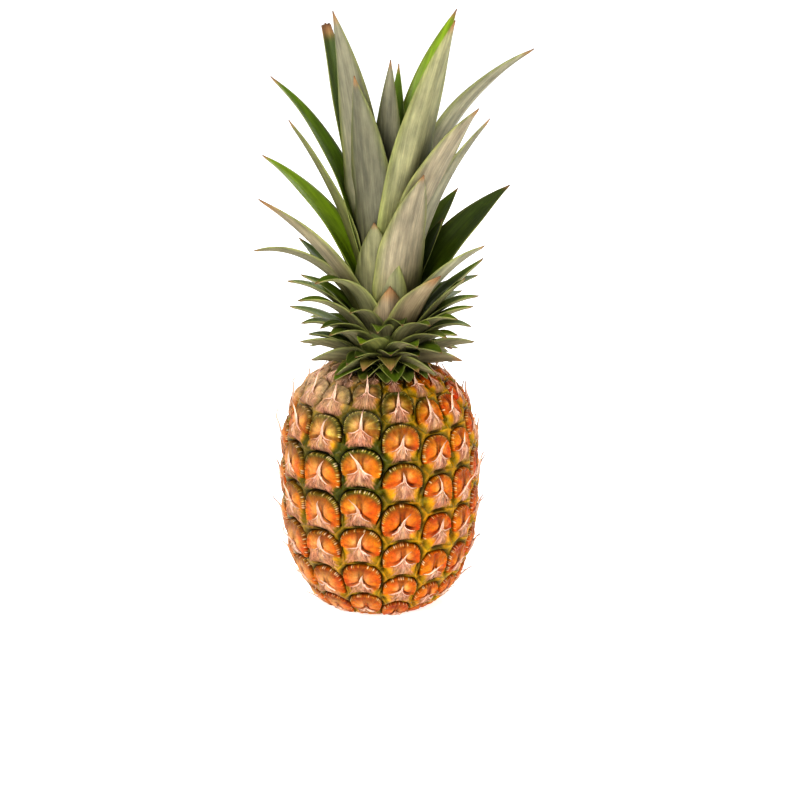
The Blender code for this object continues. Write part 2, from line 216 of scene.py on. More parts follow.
def layered(tint, *layers):
    """A colour with others laid over it, each by its share; a number in place of one darkens."""
    for over, share in layers:
        tint = mixed(tint, tint * over if np.isscalar(over) else over, share)
    return tint


def eased(low, high, value):
    """0 below low, 1 above high and a smooth step between them."""
    share = np.clip((value - low) / (high - low), 0, 1)
    return share * share * (3 - 2 * share)


def bell(value, width):
    """1 at 0, falling smoothly on both sides over a width."""
    return np.exp(-((value / width) ** 2))


def towards(turn):
    """Level direction of a turn."""
    return Vector((math.sin(math.radians(turn)), -math.cos(math.radians(turn)), 0))


def linked(name, data):
    """A new object in the scene."""
    made = bpy.data.objects.new(name, data)
    bpy.context.scene.collection.objects.link(made)
    return made


class Gathered:
    """Vertices, faces and vertex values of one piece, gathered form by form."""

    def __init__(self):
        self.points = []
        self.faces = []
        self.tints = []
        self.grains = []
        self.dryness = []
        self.count = 0

    def add(self, points, faces, tint, grain, dry):
        self.points.append(points)
        self.faces.extend([[i + self.count for i in face] for face in faces])
        self.tints.append(tint)
        self.grains.append(grain)
        self.dryness.append(np.broadcast_to(dry, len(points)))
        self.count += len(points)

    def piece(self, name, slot, material, finish=None):
        """The gathered forms as one object that rides on the fruit's body."""
        mesh = bpy.data.meshes.new(name)
        mesh.from_pydata(np.concatenate(self.points).tolist(), [], self.faces)
        rgba = np.ones((self.count, 4))
        rgba[:, :3] = np.clip(np.concatenate(self.tints), 0, 1)
        for label, kind, field, values in (
            ("tint", "FLOAT_COLOR", "color", rgba),
            ("grain", "FLOAT_VECTOR", "vector", np.concatenate(self.grains)),
            ("dry", "FLOAT", "value", np.concatenate(self.dryness)),
        ):
            attribute = mesh.attributes.new(label, kind, "POINT")
            attribute.data.foreach_set(field, values.astype(np.float32).ravel())
        mesh.materials.append(material)
        mesh.shade_smooth()
        if finish:
            joined = bmesh.new()
            joined.from_mesh(mesh)
            finish(joined)
            joined.to_mesh(mesh)
            joined.free()
        made = linked(name, mesh)
        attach(made, "root")
        return made


def lofted(sections, open_end=False):
    """Points and faces of a closed form whose sections follow one another."""
    count, around = sections.shape[:2]
    faces = []
    for low in range(count - 1):
        for i in range(around):
            j = (i + 1) % around
            base = low * around
            faces.append((base + i, base + j, base + around + j, base + around + i))
    faces.append(tuple(reversed(range(around))))
    if not open_end:
        faces.append(tuple(range((count - 1) * around, count * around)))
    return sections.reshape(-1, 3), faces


def face_outward(mesh):
    bmesh.ops.recalc_face_normals(mesh, faces=mesh.faces)


def open_loops(mesh):
    """The open borders of a mesh, each as its vertices in order."""
    edges = {edge for edge in mesh.edges if edge.is_boundary}
    loops = []
    while edges:
        loop = list(edges.pop().verts)
        while following := [edge for edge in loop[-1].link_edges if edge in edges]:
            edges.remove(following[0])
            loop.append(following[0].other_vert(loop[-1]))
        loops.append(loop[:-1])
    return loops


def close_loop(mesh, loop, rings, centre):
    """Close an open border with rings of a radius and a height each, and a centre."""
    tint = mesh.verts.layers.float_color["tint"]
    grain = mesh.verts.layers.float_vector["grain"]
    dry = mesh.verts.layers.float["dry"]

    def vertex(place):
        made = mesh.verts.new(place)
        made[tint] = (*BASE_TAN, 1)
        made[grain] = Vector(place) / MM
        made[dry] = 1
        return made

    for start, end in zip(loop, loop[1:] + loop[:1]):
        mesh.edges.get((start, end)).smooth = False
    for radius, height in rings:
        inner = []
        for v in loop:
            away = v.co.xy.normalized()
            inner.append(vertex((away.x * radius, away.y * radius, height)))
        for i in range(len(loop)):
            j = (i + 1) % len(loop)
            mesh.faces.new((loop[i], loop[j], inner[j], inner[i]))
        loop = inner
    middle = vertex(centre)
    for i in range(len(loop)):
        mesh.faces.new((loop[i], loop[(i + 1) % len(loop)], middle))


def join_eyes(mesh):
    """Weld the eyes of a band to one skin, and close it at both ends."""
    rim = [v for v in mesh.verts if v.is_boundary]
    bmesh.ops.remove_doubles(mesh, verts=rim, dist=WELD)
    for loop in open_loops(mesh):
        height = sum(v.co.z for v in loop) / len(loop)
        if height > WELD:
            close_loop(mesh, loop, (), (0, 0, height))
            continue
        outer = loop[0].co.xy.length
        socket = STEM_RADIUS + GAP
        rings = [
            (outer + (socket - outer) * share, BASE_HOLLOW * math.sin(share * math.pi))
            for share in BASE_RINGS
        ]
        rings += [(socket, 0), (socket, STEM_LENGTH + GAP)]
        close_loop(mesh, loop, rings, (0, 0, STEM_LENGTH + GAP))
    face_outward(mesh)


class Rind:
    """The smooth body under the eyes, addressed by column and row of the eye pattern."""

    def __init__(self, samples=400):
        lowest = math.asin(BASE_CUT ** (LOWER_POWER / 2))
        down = np.linspace(-lowest, 0, samples)
        highest = math.acos((SEAT_RADIUS / FRUIT_RADIUS) ** (UPPER_POWER / 2))
        up = np.linspace(0, highest, samples)[1:]
        below = WIDEST_HEIGHT / BASE_CUT * np.sin(-down) ** (2 / LOWER_POWER)
        above = (FRUIT_HEIGHT - WIDEST_HEIGHT) * np.sin(up) ** (2 / UPPER_POWER)
        self.height = WIDEST_HEIGHT + np.concatenate([-below, above])
        self.radius = FRUIT_RADIUS * np.concatenate(
            [np.cos(down) ** (2 / LOWER_POWER), np.cos(up) ** (2 / UPPER_POWER)]
        )
        step = np.hypot(np.diff(self.height), np.diff(self.radius))
        size = EYE_HEIGHT * ((self.radius[1:] + self.radius[:-1]) / 2 / FRUIT_RADIUS) ** EYE_SHRINK
        self.row = np.concatenate([[0], np.cumsum(step / size)])
        self.front_row = float(np.interp(FRONT_EYE_HEIGHT, self.height, self.row))
        self.rows = float(self.row[-1])

    def at(self, row):
        """Radius and height at a row."""
        return np.interp(row, self.row, self.radius), np.interp(row, self.row, self.height)

    def upward(self, row, reach=0.05):
        """Unit direction up the rind, as outward and up."""
        row = np.clip(row, 0, self.rows)
        low = self.at(np.maximum(row - reach, 0))
        high = self.at(np.minimum(row + reach, self.rows))
        outward, up = high[0] - low[0], high[1] - low[1]
        size = np.hypot(outward, up)
        return outward / size, up / size

    def points(self, column, row, out=0.0, up=0.0):
        """Points of the pattern, moved out of the rind and up along it."""
        radius, height = self.at(row)
        outward, upward = self.upward(row)
        radius = radius + out * upward + up * outward
        height = height + up * upward - out * outward
        turn = np.radians(column_turn(column))
        return np.stack([np.sin(turn) * radius, -np.cos(turn) * radius, height], axis=-1)


def column_turn(column):
    """Turn of a column; the columns stand wider apart on the broad side."""
    even = column * 360 / EYE_COLUMNS
    return even + math.degrees(BROADENING) * np.sin(np.radians(even - BROAD_SIDE_TURN)) + FIRST_TURN


FIRST_TURN = FRONT_EYE_TURN - math.degrees(BROADENING) * math.sin(math.radians(-BROAD_SIDE_TURN))


def eye_centres(rind, draw):
    """Every eye's column and row, with a margin of eyes beyond both ends of the fruit."""
    centres = []
    for column in range(EYE_COLUMNS):
        first = (rind.front_row - COLUMN_DROP * column + COLUMN_LIFTS.get(column, 0)) % 1 - 2
        for step in range(math.ceil(rind.rows) + 4):
            places = column, first + step
            centres.append(tuple(place + draw.uniform(-EYE_SCATTER, EYE_SCATTER) for place in places))
    return centres


def clipped(polygon, middle, away):
    """The part of a polygon on this side of the line through middle, square to away."""
    kept = []
    sides = [(p[0] - middle[0]) * away[0] + (p[1] - middle[1]) * away[1] for p in polygon]
    for i, (point, side) in enumerate(zip(polygon, sides)):
        after = polygon[(i + 1) % len(polygon)]
        side_after = sides[(i + 1) % len(polygon)]
        if side <= 0:
            kept.append(point)
        if (side < 0 < side_after) or (side_after < 0 < side):
            share = side / (side - side_after)
            kept.append(tuple(p + share * (q - p) for p, q in zip(point, after)))
    return kept


def cell(centre, centres):
    """The region nearer to this eye than to any other, as corners in columns and rows."""
    reach = 1.3
    polygon = [
        (centre[0] + across * reach, centre[1] + up * reach)
        for across, up in ((-1, -1), (1, -1), (1, 1), (-1, 1))
    ]
    for other in centres:
        across = (other[0] - centre[0] + EYE_COLUMNS / 2) % EYE_COLUMNS - EYE_COLUMNS / 2
        up = other[1] - centre[1]
        if max(abs(across), abs(up)) > 2 * reach or (across, up) == (0, 0):
            continue
        middle = (centre[0] + across / 2, centre[1] + up / 2)
        polygon = clipped(polygon, middle, (across * EYE_PITCH**2, up * EYE_HEIGHT**2))
    return polygon


def area(polygon):
    pairs = zip(polygon, polygon[1:] + polygon[:1])
    return abs(sum(c0 * r1 - c1 * r0 for (c0, r0), (c1, r1) in pairs)) / 2


class Eye(NamedTuple):
    """One eye of the rind: its place, its cell, its size and what is drawn by lot."""

    column: float
    row: float
    polygon: list
    share: float
    size: float
    spine: float
    whole: bool
    lot: random.Random
    apex: float
    dips: tuple
    slopes: tuple


def rind_eyes(rind):
    """All eyes, in the order and with the draws of the solid model."""
    draw = random.Random(SEED)
    centres = eye_centres(rind, draw)
    eyes = []
    for centre in centres:
        polygon = cell(centre, centres)
        full = area(polygon)
        polygon = clipped(polygon, (0, 0), (0, -1))
        if polygon:
            polygon = clipped(polygon, (0, rind.rows), (0, 1))
        if not polygon or area(polygon) < LEAST_EYE * full:
            continue
        part = area(polygon) / full
        if part < UNCUT_SHARE:
            centre = tuple(sum(p[k] for p in polygon) / len(polygon) for k in (0, 1))
        size = float((rind.at(centre[1])[0] / FRUIT_RADIUS) ** EYE_SHRINK)
        whole = part > WHOLE_SHARE
        spine = draw.uniform(*SPINE_LENGTH) * (size**SPINE_SHRINK if whole else CUT_EYE_SPINE)
        lot = random.Random(SEED * 1000 + len(eyes))
        apex = lot.uniform(*APEX)
        dips = (lot.uniform(*ARM_DIP), lot.uniform(*ARM_DIP))
        slopes = (lot.uniform(*ARM_SLOPE), lot.uniform(*ARM_SLOPE))
        share = size * math.sqrt(part)
        eyes.append(Eye(*centre, polygon, share, size, spine, whole, lot, apex, dips, slopes))
    return eyes


def outline(polygon):
    """Border points of a cell, three for each bead: columns, rows, notches, gaps to a corner."""
    places, notches, gaps = [], [], []
    for start, end in zip(polygon, polygon[1:] + polygon[:1]):
        start, end = np.array(start), np.array(end)
        length = math.hypot((end[0] - start[0]) * EYE_PITCH, (end[1] - start[1]) * EYE_HEIGHT)
        count = BEAD_POINTS * max(1, round(length / BEAD))
        for k in range(count):
            places.append(start + (end - start) * k / count)
            notches.append(k % BEAD_POINTS == 0)
            gaps.append(min(k, count - k) / count * length)
    return np.array(places), np.array(notches), np.array(gaps)


def dome_reach(eye, across, up):
    """Distance from the centre to the dome's outline, as a share of that to the cell's border."""
    total = np.zeros(len(across))
    nearest = np.zeros(len(across))
    for start, end in zip(eye.polygon, eye.polygon[1:] + eye.polygon[:1]):
        x0, y0 = (start[0] - eye.column) * EYE_PITCH, (start[1] - eye.row) * EYE_HEIGHT
        x1, y1 = (end[0] - eye.column) * EYE_PITCH, (end[1] - eye.row) * EYE_HEIGHT
        length = math.hypot(x1 - x0, y1 - y0)
        if length < LEAST:
            continue
        normal = ((y1 - y0) / length, (x0 - x1) / length)
        gap = max(x0 * normal[0] + y0 * normal[1], LEAST)
        facing = np.maximum(across * normal[0] + up * normal[1], 0) / gap
        total += facing**OUTLINE_POWER
        nearest = np.maximum(nearest, facing)
    return nearest / total ** (1 / OUTLINE_POWER)


def arm_line(eye, across):
    """Height of the bract's free edge across an eye, in shares of the eye."""
    far = np.abs(across)
    dip = np.where(across < 0, *eye.dips)
    slope = np.where(across < 0, *eye.slopes)
    return eye.apex - dip * (1 - np.exp(-far / ARM_BEND)) - slope * far


def lobe_mask(eye, x, y):
    """How far a vertex is in one of the two swellings beside the spine."""
    place, width, lift, tall = LOBE
    strength = np.interp(np.where(x < 0, *eye.slopes), ARM_SLOPE, LOBE_SHARES)
    return strength * bell(np.abs(x) - place, width) * bell(y - eye.apex - lift, tall)


def crease_mask(eye, x, y):
    """How far a vertex is in the crease just above the bract's free edge, which is sunk, and darkened with
    painted shade in the dome's colour.
    """
    place, width, lift, tall = CREASE
    strength = np.interp(np.where(x < 0, *eye.dips), ARM_DIP, CREASE_SHARES)
    return strength * bell(np.abs(x) - place, width) * bell(y - arm_line(eye, x) - lift, tall)


def hollow_mask(eye, x, y):
    """How far a vertex is in the hollow between the two swellings."""
    return bell(x, 0.13) * eased(0.0, 0.16, y - eye.apex) * eased(0.46, 0.3, y)


class Spots(NamedTuple):
    """An eye's vertices: place from its centre, q from there to the dome's edge, and masks."""

    x: np.ndarray
    y: np.ndarray
    q: np.ndarray
    apron: np.ndarray
    bead: np.ndarray
    corner: np.ndarray
    is_border: np.ndarray

    def edge_rise(self):
        """Rise of the cell's border, higher where the apron runs on."""
        return BORDER_RISE + CORNER_RISE * self.corner


def eye_rings(reach):
    """Border point and q of each vertex of an eye, ring by ring inward, and the rings' sizes."""
    count = len(reach)
    few = np.arange(0, count, BEAD_POINTS)
    rings = [np.arange(count)] * (2 + len(OUTER_RINGS)) + [few] * len(INNER_RINGS)
    shares = [1 / reach, 1 + BETWEEN * (1 / reach - 1)]
    for ring, share in zip(rings[2:], OUTER_RINGS + INNER_RINGS):
        shares.append(np.full(len(ring), share))
    sizes = [len(ring) for ring in rings]
    return np.concatenate(rings + [[0]]), np.concatenate(shares + [[0.0]]), sizes


def ring_faces(sizes):
    """Faces between rings; where the next ring has fewer points, each of them takes three."""
    faces = []
    outer = 0
    for size, next_size in zip(sizes, sizes[1:]):
        inner = outer + size
        for i in range(next_size):
            j = (i + 1) % next_size
            if size == next_size:
                faces.append((outer + i, outer + j, inner + j, inner + i))
                continue
            fan = [outer + (BEAD_POINTS * i + k) % size for k in range(BEAD_POINTS + 1)]
            faces.append((fan[0], fan[1], inner + i))
            faces.append((fan[1], fan[2], inner + j, inner + i))
            faces.append((fan[2], fan[3], inner + j))
        outer = inner
    last = sizes[-1]
    for i in range(last):
        faces.append((outer + i, outer + (i + 1) % last, outer + last))
    return faces


def eye_forms(rind, eye):
    """Points, faces and looks of one eye."""
    lot = eye.lot
    border, notches, gaps = outline(eye.polygon)
    count = len(border)
    across = (border[:, 0] - eye.column) * EYE_PITCH
    up = (border[:, 1] - eye.row) * EYE_HEIGHT
    round_share = dome_reach(eye, across, up)
    low = eased(*APRON_ANGLES, np.abs(np.arctan2(across, up)))
    eye_turn = (float(column_turn(eye.column)) + 180) % 360 - 180
    narrowed = 0.995 - 0.06 * eased(5, 40, eye_turn)
    reach = narrowed * (round_share * (1 - low) + (0.35 * round_share + 0.65) * low)

    index, q, sizes = eye_rings(reach)
    is_border = np.arange(len(q)) < count
    beyond = q > DOME_EDGE
    scatter = np.array([lot.uniform(-BEAD_SCATTER, BEAD_SCATTER) for _ in range(count)])
    beads = np.array([lot.uniform(0.1, 1) ** 1.5 for _ in range(count)])
    beads = beads[np.arange(count) // BEAD_POINTS * BEAD_POINTS]
    scattered = border + (np.roll(border, -1, axis=0) - border) * scatter[:, None]
    edge = np.where(is_border[:, None], border[index], scattered[index])
    scallop = np.where(notches[index] & ~beyond & (q > 0.9), SCALLOP, 1)
    distance = q * reach[index] * scallop
    column = eye.column + (edge[:, 0] - eye.column) * distance
    row = eye.row + (edge[:, 1] - eye.row) * distance
    x, y = column - eye.column, row - eye.row

    apron = eased(-0.012, 0.03, arm_line(eye, x) - y) if eye.whole else np.zeros(len(x))
    gap = (1 / reach - 1)[index] * np.hypot(across, up)[index] * reach[index]
    closed = is_border | ~beyond | (low[index] > 0.5)
    corner = np.where(closed, bell(gaps[index], CORNER_REACH), eased(*OPEN_GAP, gap))
    bead = np.where(notches, -1, 0.5)[index] * beads[index]
    spots = Spots(x, y, q, apron, bead, corner, is_border)
    rise, rim = eye_rise(eye, spots)
    risen = np.where(is_border, 1, BETWEEN_RISE) * (q > 1 + LEAST)
    rise = rise * (1 - risen) + spots.edge_rise() * risen
    size = (rind.at(row)[0] / FRUIT_RADIUS) ** EYE_SHRINK
    at_end = is_border & (np.minimum(border[:, 1], rind.rows - border[:, 1]) < LEAST)[index]
    rise = np.where(at_end, 0, rise * np.where(is_border, size, eye.share))
    points = rind.points(column, row, out=rise)
    points[:, 2] = np.maximum(points[:, 2], np.where(at_end, 0, BASE_CLEARANCE))

    tint, dry = eye_tint(eye, spots, rim, column_turn(column), points[:, 2])
    grain = np.stack([x * EYE_PITCH, y * EYE_HEIGHT, np.full(len(x), lot.random())], axis=-1) / MM
    return points, ring_faces(sizes), tint, grain, dry


def facing_right(turn):
    """1 on the side that the sun ripened, towards the viewer's right, and 0 opposite."""
    return 0.5 + 0.5 * np.cos(np.radians(turn - 50))


def folds(eye, x, y):
    """Uneven folds of a dome that run out from the foot of the spine, -1 to 1."""
    angle = np.arctan2(x, y - eye.apex)
    return 0.65 * np.sin(angle * FOLDS + 40 * eye.apex) + 0.35 * np.sin(angle * 29 + 90 * eye.apex)


def eye_rise(eye, spots):
    """Rise of an eye over the rind, and how far each vertex is in its beaded rim."""
    x, y, q, apron = spots[:4]
    right = facing_right(float(column_turn(eye.column)))
    rim = np.where(q > RIM_PLACE, bell(q - RIM_PLACE, 0.035), eased(0.77, 0.92, q))
    dome = np.interp(q, *zip(*DOME_PROFILE)) * MM
    dome += rim * BEAD_RISE * spots.bead
    dome += LOBE_RISE * lobe_mask(eye, x, y) * eased(0.85, 0.6, q)
    dome -= CREASE_DEPTH * crease_mask(eye, x, y) + HOLLOW_DEPTH * hollow_mask(eye, x, y)
    dome += ROLL_RISE * right * (bell(q - 0.87, 0.07) - eased(0.8, 0.6, q))
    dome += FOLD_RISE * folds(eye, x, y) * eased(0.2, 0.5, q) * eased(0.97, 0.85, q)
    edge_rise = spots.edge_rise()
    skirt = edge_rise + (BORDER_RISE + APRON_RISE - edge_rise) * (1 - np.clip(q, 0, 1) ** APRON_POWER)
    skirt += MIDRIB_RISE * bell(x, 0.05) * eased(0.9, 0.2, q)
    skirt += FIBRE_RISE * np.sin(np.arctan2(x, y) * 34 + 6 * eye.lot.random()) * eased(1.0, 0.8, q)
    return dome * (1 - apron) + skirt * apron, rim * (1 - apron)


# Soft patches of the fruit: turn, height in millimetres, reach round and up, strength
GREEN_PATCHES = (
    (-25, 130, 34, 22, 1.0),
    (12, 138, 26, 11, 0.8),
    (-75, 138, 30, 12, 0.4),
    (150, 118, 42, 24, 0.9),
    (-140, 70, 30, 20, 0.5),
)
GREEN_RIMS = (
    (-20, 100, 44, 36, 1.1),
    (150, 110, 60, 36, 0.9),
    (-120, 60, 50, 30, 0.6),
)
# painted shadow of the crown on the top of the rind in front
SHADED = ((0, 146, 60, 18, 1.0),)
GRAND_BRACTS = (
    (-72, 40, 40, 40, 1.0),
    (-72, 112, 34, 30, 0.8),
    (20, 132, 80, 14, 0.8),
    (140, 60, 40, 30, 0.5),
)


def patchy(patches, turn, height):
    """How far a turn and a height are inside soft patches."""
    total = np.zeros(np.shape(turn))
    for patch_turn, patch_height, width, tall, strength in patches:
        apart = (turn - patch_turn + 180) % 360 - 180
        total += strength * bell(apart, width) * bell(height / MM - patch_height, tall)
    return np.clip(total, 0, 1)


DEEP_ORANGE = colour(204, 92, 0)
ORANGE = colour(226, 130, 0)
PALE_ORANGE = colour(240, 176, 70)
PEACH = colour(244, 190, 142)
PINK_TAN = colour(218, 164, 138)
PALE_TAN = colour(242, 208, 184)
CREAM = colour(250, 230, 208)
OLIVE = colour(116, 92, 0)
YELLOW = colour(230, 170, 10)
YELLOW_OLIVE = colour(172, 140, 0)
GREEN = colour(92, 94, 0)
PALE_GREEN = colour(206, 200, 124)
# near-black green of the groove: partly its own colour, partly painted shade
GROOVE_SHADE_GREEN = colour(16, 18, 0)
HOLLOW_BROWN = colour(132, 74, 2)
HOLLOW_OLIVE = colour(112, 88, 8)
# painted shade for the creases above the bract's free edge and beside the spine
PAINTED_CREASE_SHADE = colour(66, 24, 2)
TIP_BROWN = colour(112, 62, 34)
BASE_TAN = colour(176, 142, 96)
DEPTH_OF_COLOUR = (0.81, 1.25)  # factor and power of the rind's colours


class Ripeness(NamedTuple):
    """Two draws of an eye's own, and how green, sunned or parched each of its vertices is."""

    own: float
    other: float
    green: np.ndarray
    green_rim: np.ndarray
    right: np.ndarray
    left: np.ndarray
    parched: np.ndarray


def ripeness(eye, turn, height):
    """The rind is greenest on top in front, ripest on the right and driest on the left."""
    own, other = eye.lot.uniform(-1, 1), eye.lot.uniform(-1, 1)
    left = 0.5 + 0.5 * np.cos(np.radians(turn + 85))
    low = eased(66 * MM, 26 * MM, height)
    shoulder = eased(108 * MM, 134 * MM, height)
    return Ripeness(
        own,
        other,
        green=np.clip(patchy(GREEN_PATCHES, turn, height) * (1 + 0.25 * own), 0, 1),
        green_rim=patchy(GREEN_RIMS, turn, height),
        right=facing_right(turn),
        left=left,
        parched=np.clip(0.9 * left**4 * (0.55 + 0.45 * shoulder) + 0.4 * low * left**2, 0, 0.9),
    )


def dome_tint(eye, spots, ripe, rim, height):
    """Colour of a dome: orange or green, browner in its hollows partly by painted shade, with painted
    shade in its creases, fold valleys, beside the spine and between its beads, and painted highlights on
    its lobes, fold ridges and beads.
    """
    x, y, q = spots[:3]
    own, other, green, green_rim, right, _, parched = ripe
    fold = folds(eye, x, y)
    above = eased(eye.apex + 0.08, eye.apex + 0.28, y) * eased(0.1, 0.4, q)
    # painted highlights on the lobes and fold ridges of green domes, fading out under the crown
    pale = (lobe_mask(eye, x / 1.3, y) + 0.3 * eased(0.3, 0.9, fold)) * eased(146 * MM, 116 * MM, height)
    dome = layered(
        DEEP_ORANGE,
        (ORANGE, 0.45 + 0.35 * own + 0.3 * (1 - right)),
        # browner in the hollow between the lobes and in the dome's upper half: partly the dome's own
        # colour, partly painted shade
        (HOLLOW_BROWN, hollow_mask(eye, x, y) * (0.8 - 0.4 * right)),
        (mixed(HOLLOW_BROWN, HOLLOW_OLIVE, green_rim), above * (0.85 - 0.55 * right)),
        (GREEN, green * 0.75),
        (PALE_GREEN, green * pale * 1.1),
        # painted highlights on the lobes beside the spine
        (PALE_ORANGE, lobe_mask(eye, x / 1.2, y) * 0.3),
        (PEACH, lobe_mask(eye, x * 1.5, y) * (0.5 + 0.3 * other + 0.4 * parched)),
        (PEACH, parched * eased(0.85, 0.3, q) * 0.6),
        (GREEN, green * eased(0.5, 0.88, q) * 0.8),
        (GREEN, green_rim * eased(-0.15, 0.25, y) * eased(0.66, 0.88, q)),
        # painted shade in the valleys between the folds, weaker on the right
        (0.66, eased(0.1, -0.9, fold) * eased(0.25, 0.55, q) * (0.85 - 0.5 * right)),
    )
    # painted highlight: a paler copy of the dome laid on the raised beads of the rim, cream on their tops
    painted_bead_highlight = layered(
        dome,
        (PALE_ORANGE, 0.5),
        (PALE_GREEN, np.clip(green + green_rim, 0, 1) * 0.6),
        (CREAM, eased(0.2, 0.5, spots.bead) * eased(0.88, 0.93, q) * 0.8),
    )
    # painted shadow in the narrow strips beside the spine's foot
    painted_spine_shadow = bell(np.abs(x) - 0.05, 0.025) * eased(0.3, 0.1, y - eye.apex)
    return layered(
        dome,
        (painted_bead_highlight, rim * eased(0.02, 0.35, spots.bead)),
        # painted shade in the notches between the beads
        (0.4, rim * eased(-0.05, -0.7, spots.bead)),
        # painted shade in the crease above the bract's free edge, and painted shadow beside the spine
        (PAINTED_CREASE_SHADE, 0.95 * crease_mask(eye, x, y) + 0.6 * painted_spine_shadow),
    )


def apron_tint(eye, spots, ripe):
    """Colour of the apron below the bract's edge, and how papery each vertex is."""
    x, y, q = spots[:3]
    right = ripe.right
    fibre = 0.5 + 0.5 * np.sin(np.arctan2(x, y) * 41 + 9 * ripe.other)
    depth = np.clip(eye.apex - y, 0, 1)
    width = 0.12 + 0.04 * ripe.own + 0.3 * ripe.parched + (0.34 - 0.16 * right) * depth + 0.07 * fibre
    papery = eased(width + 0.06, width - 0.06, np.abs(x))
    papery = papery * eased(0.70 - 0.1 * right, 0.4 - 0.1 * right, depth - 0.14 * fibre)
    near_arm = bell(y - arm_line(eye, x), 0.06) * eased(0.42, 0.25, np.abs(x))
    papery = np.clip(papery + 0.8 * near_arm, 0, 1)
    tint = layered(
        YELLOW,
        (ORANGE, 0.5 * right * eased(1.0, 0.4, q)),
        (YELLOW_OLIVE, eased(0.65, 0.95, q) * 0.8),
        (GREEN, eased(0.68, 0.97, q) * np.clip(ripe.green_rim * 0.9 + 0.35 - 0.2 * right, 0, 1)),
        (PINK_TAN, papery * 0.95),
        (PALE_TAN, papery * bell(x, 0.05) * 0.5),
        (0.5, (1 - fibre) * 0.7 * eased(0.15, 0.45, q) * papery),
    )
    return tint, papery


def groove_tint(spots, ripe, papery):
    """Colour between the domes: a dark groove, partly its own dark green and partly painted shade, or the
    apron's green and yellow continuation.
    """
    right, green_rim = ripe.right, ripe.green_rim
    # dark groove: partly the rind's own dark olive and green, partly painted shade in the groove
    groove = mixed(OLIVE, GROOVE_SHADE_GREEN, 0.45 - 0.45 * right + 0.75 * green_rim)
    greener = 0.55 - 0.5 * spots.is_border * (1 - green_rim) + 0.15 * ripe.other + 0.45 * green_rim
    between = layered(
        YELLOW_OLIVE,
        (YELLOW, 0.5 * right + 0.3 * spots.is_border),
        (GREEN, greener + 0.1 * (1 - right)),
        (PINK_TAN, 0.55 * papery * (spots.y < 0)),
        (PALE_TAN, 0.015 + 0.45 * ripe.parched**2),
    )
    between *= (0.8 + 0.2 * right)[:, None]
    return mixed(groove, between, (spots.q > DOME_EDGE) * eased(0.05, 0.45, spots.corner))


def eye_tint(eye, spots, rim, turn, height):
    """Colour and dryness of an eye's vertices."""
    q, apron = spots.q, spots.apron
    ripe = ripeness(eye, turn, height)
    skirt, papery = apron_tint(eye, spots, ripe)
    beyond = q > DOME_EDGE
    # where the dark groove colour, with its painted shade, is laid
    line = eased(0.955, 0.99, q) * (1 - 0.95 * apron * eased(0.03, 0.3, spots.corner))
    line = np.where(beyond, 1, line)
    high = np.clip(eased(118 * MM, 138 * MM, height) * (ripe.left**2 - 0.2), 0, 1)
    tint = layered(
        dome_tint(eye, spots, ripe, rim, height),
        (skirt, apron),
        (groove_tint(spots, ripe, papery), line),
        (PEACH, ripe.parched * eased(0.97, 0.4, q) * 0.65),
        (mixed(PALE_TAN, PALE_GREEN, 0.12), high * (1 - 0.7 * line)),
    )
    factor, power = DEPTH_OF_COLOUR
    # colours deepened, and darkened by the crown's painted shadow on the rind's top in front
    tint = factor * (1 - 0.35 * patchy(SHADED, turn, height)[:, None]) * tint**power
    dry = np.where(beyond, 0, np.clip(0.12 + 0.8 * apron * papery + 0.4 * ripe.parched, 0, 1))
    return tint, dry


def spine_forms(rind, eye):
    """The dry bract's free point: a folded papery blade that lifts off the eye."""
    lot = eye.lot
    share = np.linspace(0, 1, SPINE_STEPS + 1)
    turn = float(column_turn(eye.column))
    grand = float(patchy(GRAND_BRACTS, turn, rind.at(eye.row)[1]))
    length = eye.spine / eye.size**SPINE_SHRINK * eye.size * (lot.uniform(0.6, 1.1) + 0.5 * grand)
    foot_row = eye.row + eye.apex - 0.09
    lift = lot.uniform(0.6, 1.5)
    sway = lot.uniform(-0.5, 0.5)
    opened = eased(0, 0.2, share)
    out = (2.3 + opened) * MM * eye.share + length * 0.44 * lift * share**1.7
    centre = rind.points(
        eye.column + sway * length / EYE_PITCH * share**2,
        np.full(len(share), foot_row),
        out=np.minimum(out, SPINE_REACH),
        up=(length + 1.5 * MM * eye.share) * share * 0.94,
    )
    centre[:, 2] = np.maximum(centre[:, 2], BASE_CLEARANCE)
    side, away = np.array(towards(turn + 90)), np.array(towards(turn))
    twist = (lot.uniform(-0.7, 0.7) * share)[:, None]
    across = side * np.cos(twist) + away * np.sin(twist)
    outward = away * np.cos(twist) - side * np.sin(twist)
    foot = lot.uniform(0.7, 1.4) * (1 + grand)
    half = eye.share * MM * (0.36 + foot * (1 - share) ** 1.7 * (0.6 + 0.4 * opened))
    half *= 1 - 0.75 * eased(0.85, 1.0, share)
    fold = eye.share * MM * (0.20 + 0.9 * (1 - share) ** 1.2)
    thick = 0.64 * MM * (1 - 0.4 * share)
    ring = []
    for x, ridge, depth in SPINE_SECTION:
        wave = 0.12 * MM * np.sin(share * 17 + x * 3 + 6 * lot.random())
        offset = fold * ridge - thick * depth + wave * abs(x)
        ring.append(centre + across * (half * x)[:, None] + outward * offset[:, None])
    points, faces = lofted(np.stack(ring, axis=1))
    along = np.repeat(share, len(ring))
    x = np.tile([place for place, _, _ in SPINE_SECTION], len(share))
    tint = layered(
        PINK_TAN,
        (PALE_TAN, eased(0.1, 0.5, along) * lot.uniform(0.2, 0.9)),
        (CREAM, eased(0.3, 1.0, np.abs(x)) * lot.uniform(0.3, 0.9)),
        (TIP_BROWN, 0.45 * eased(0.5, 0.2, np.abs(x)) * lot.random()),
        (TIP_BROWN, eased(0.55, 1.0, along) * lot.uniform(0.2, 1.0)),
    )
    grain = np.stack([x * 2.5, along * length / MM, np.full(len(x), lot.random())], axis=-1)
    return points, faces, tint, grain, 1.0


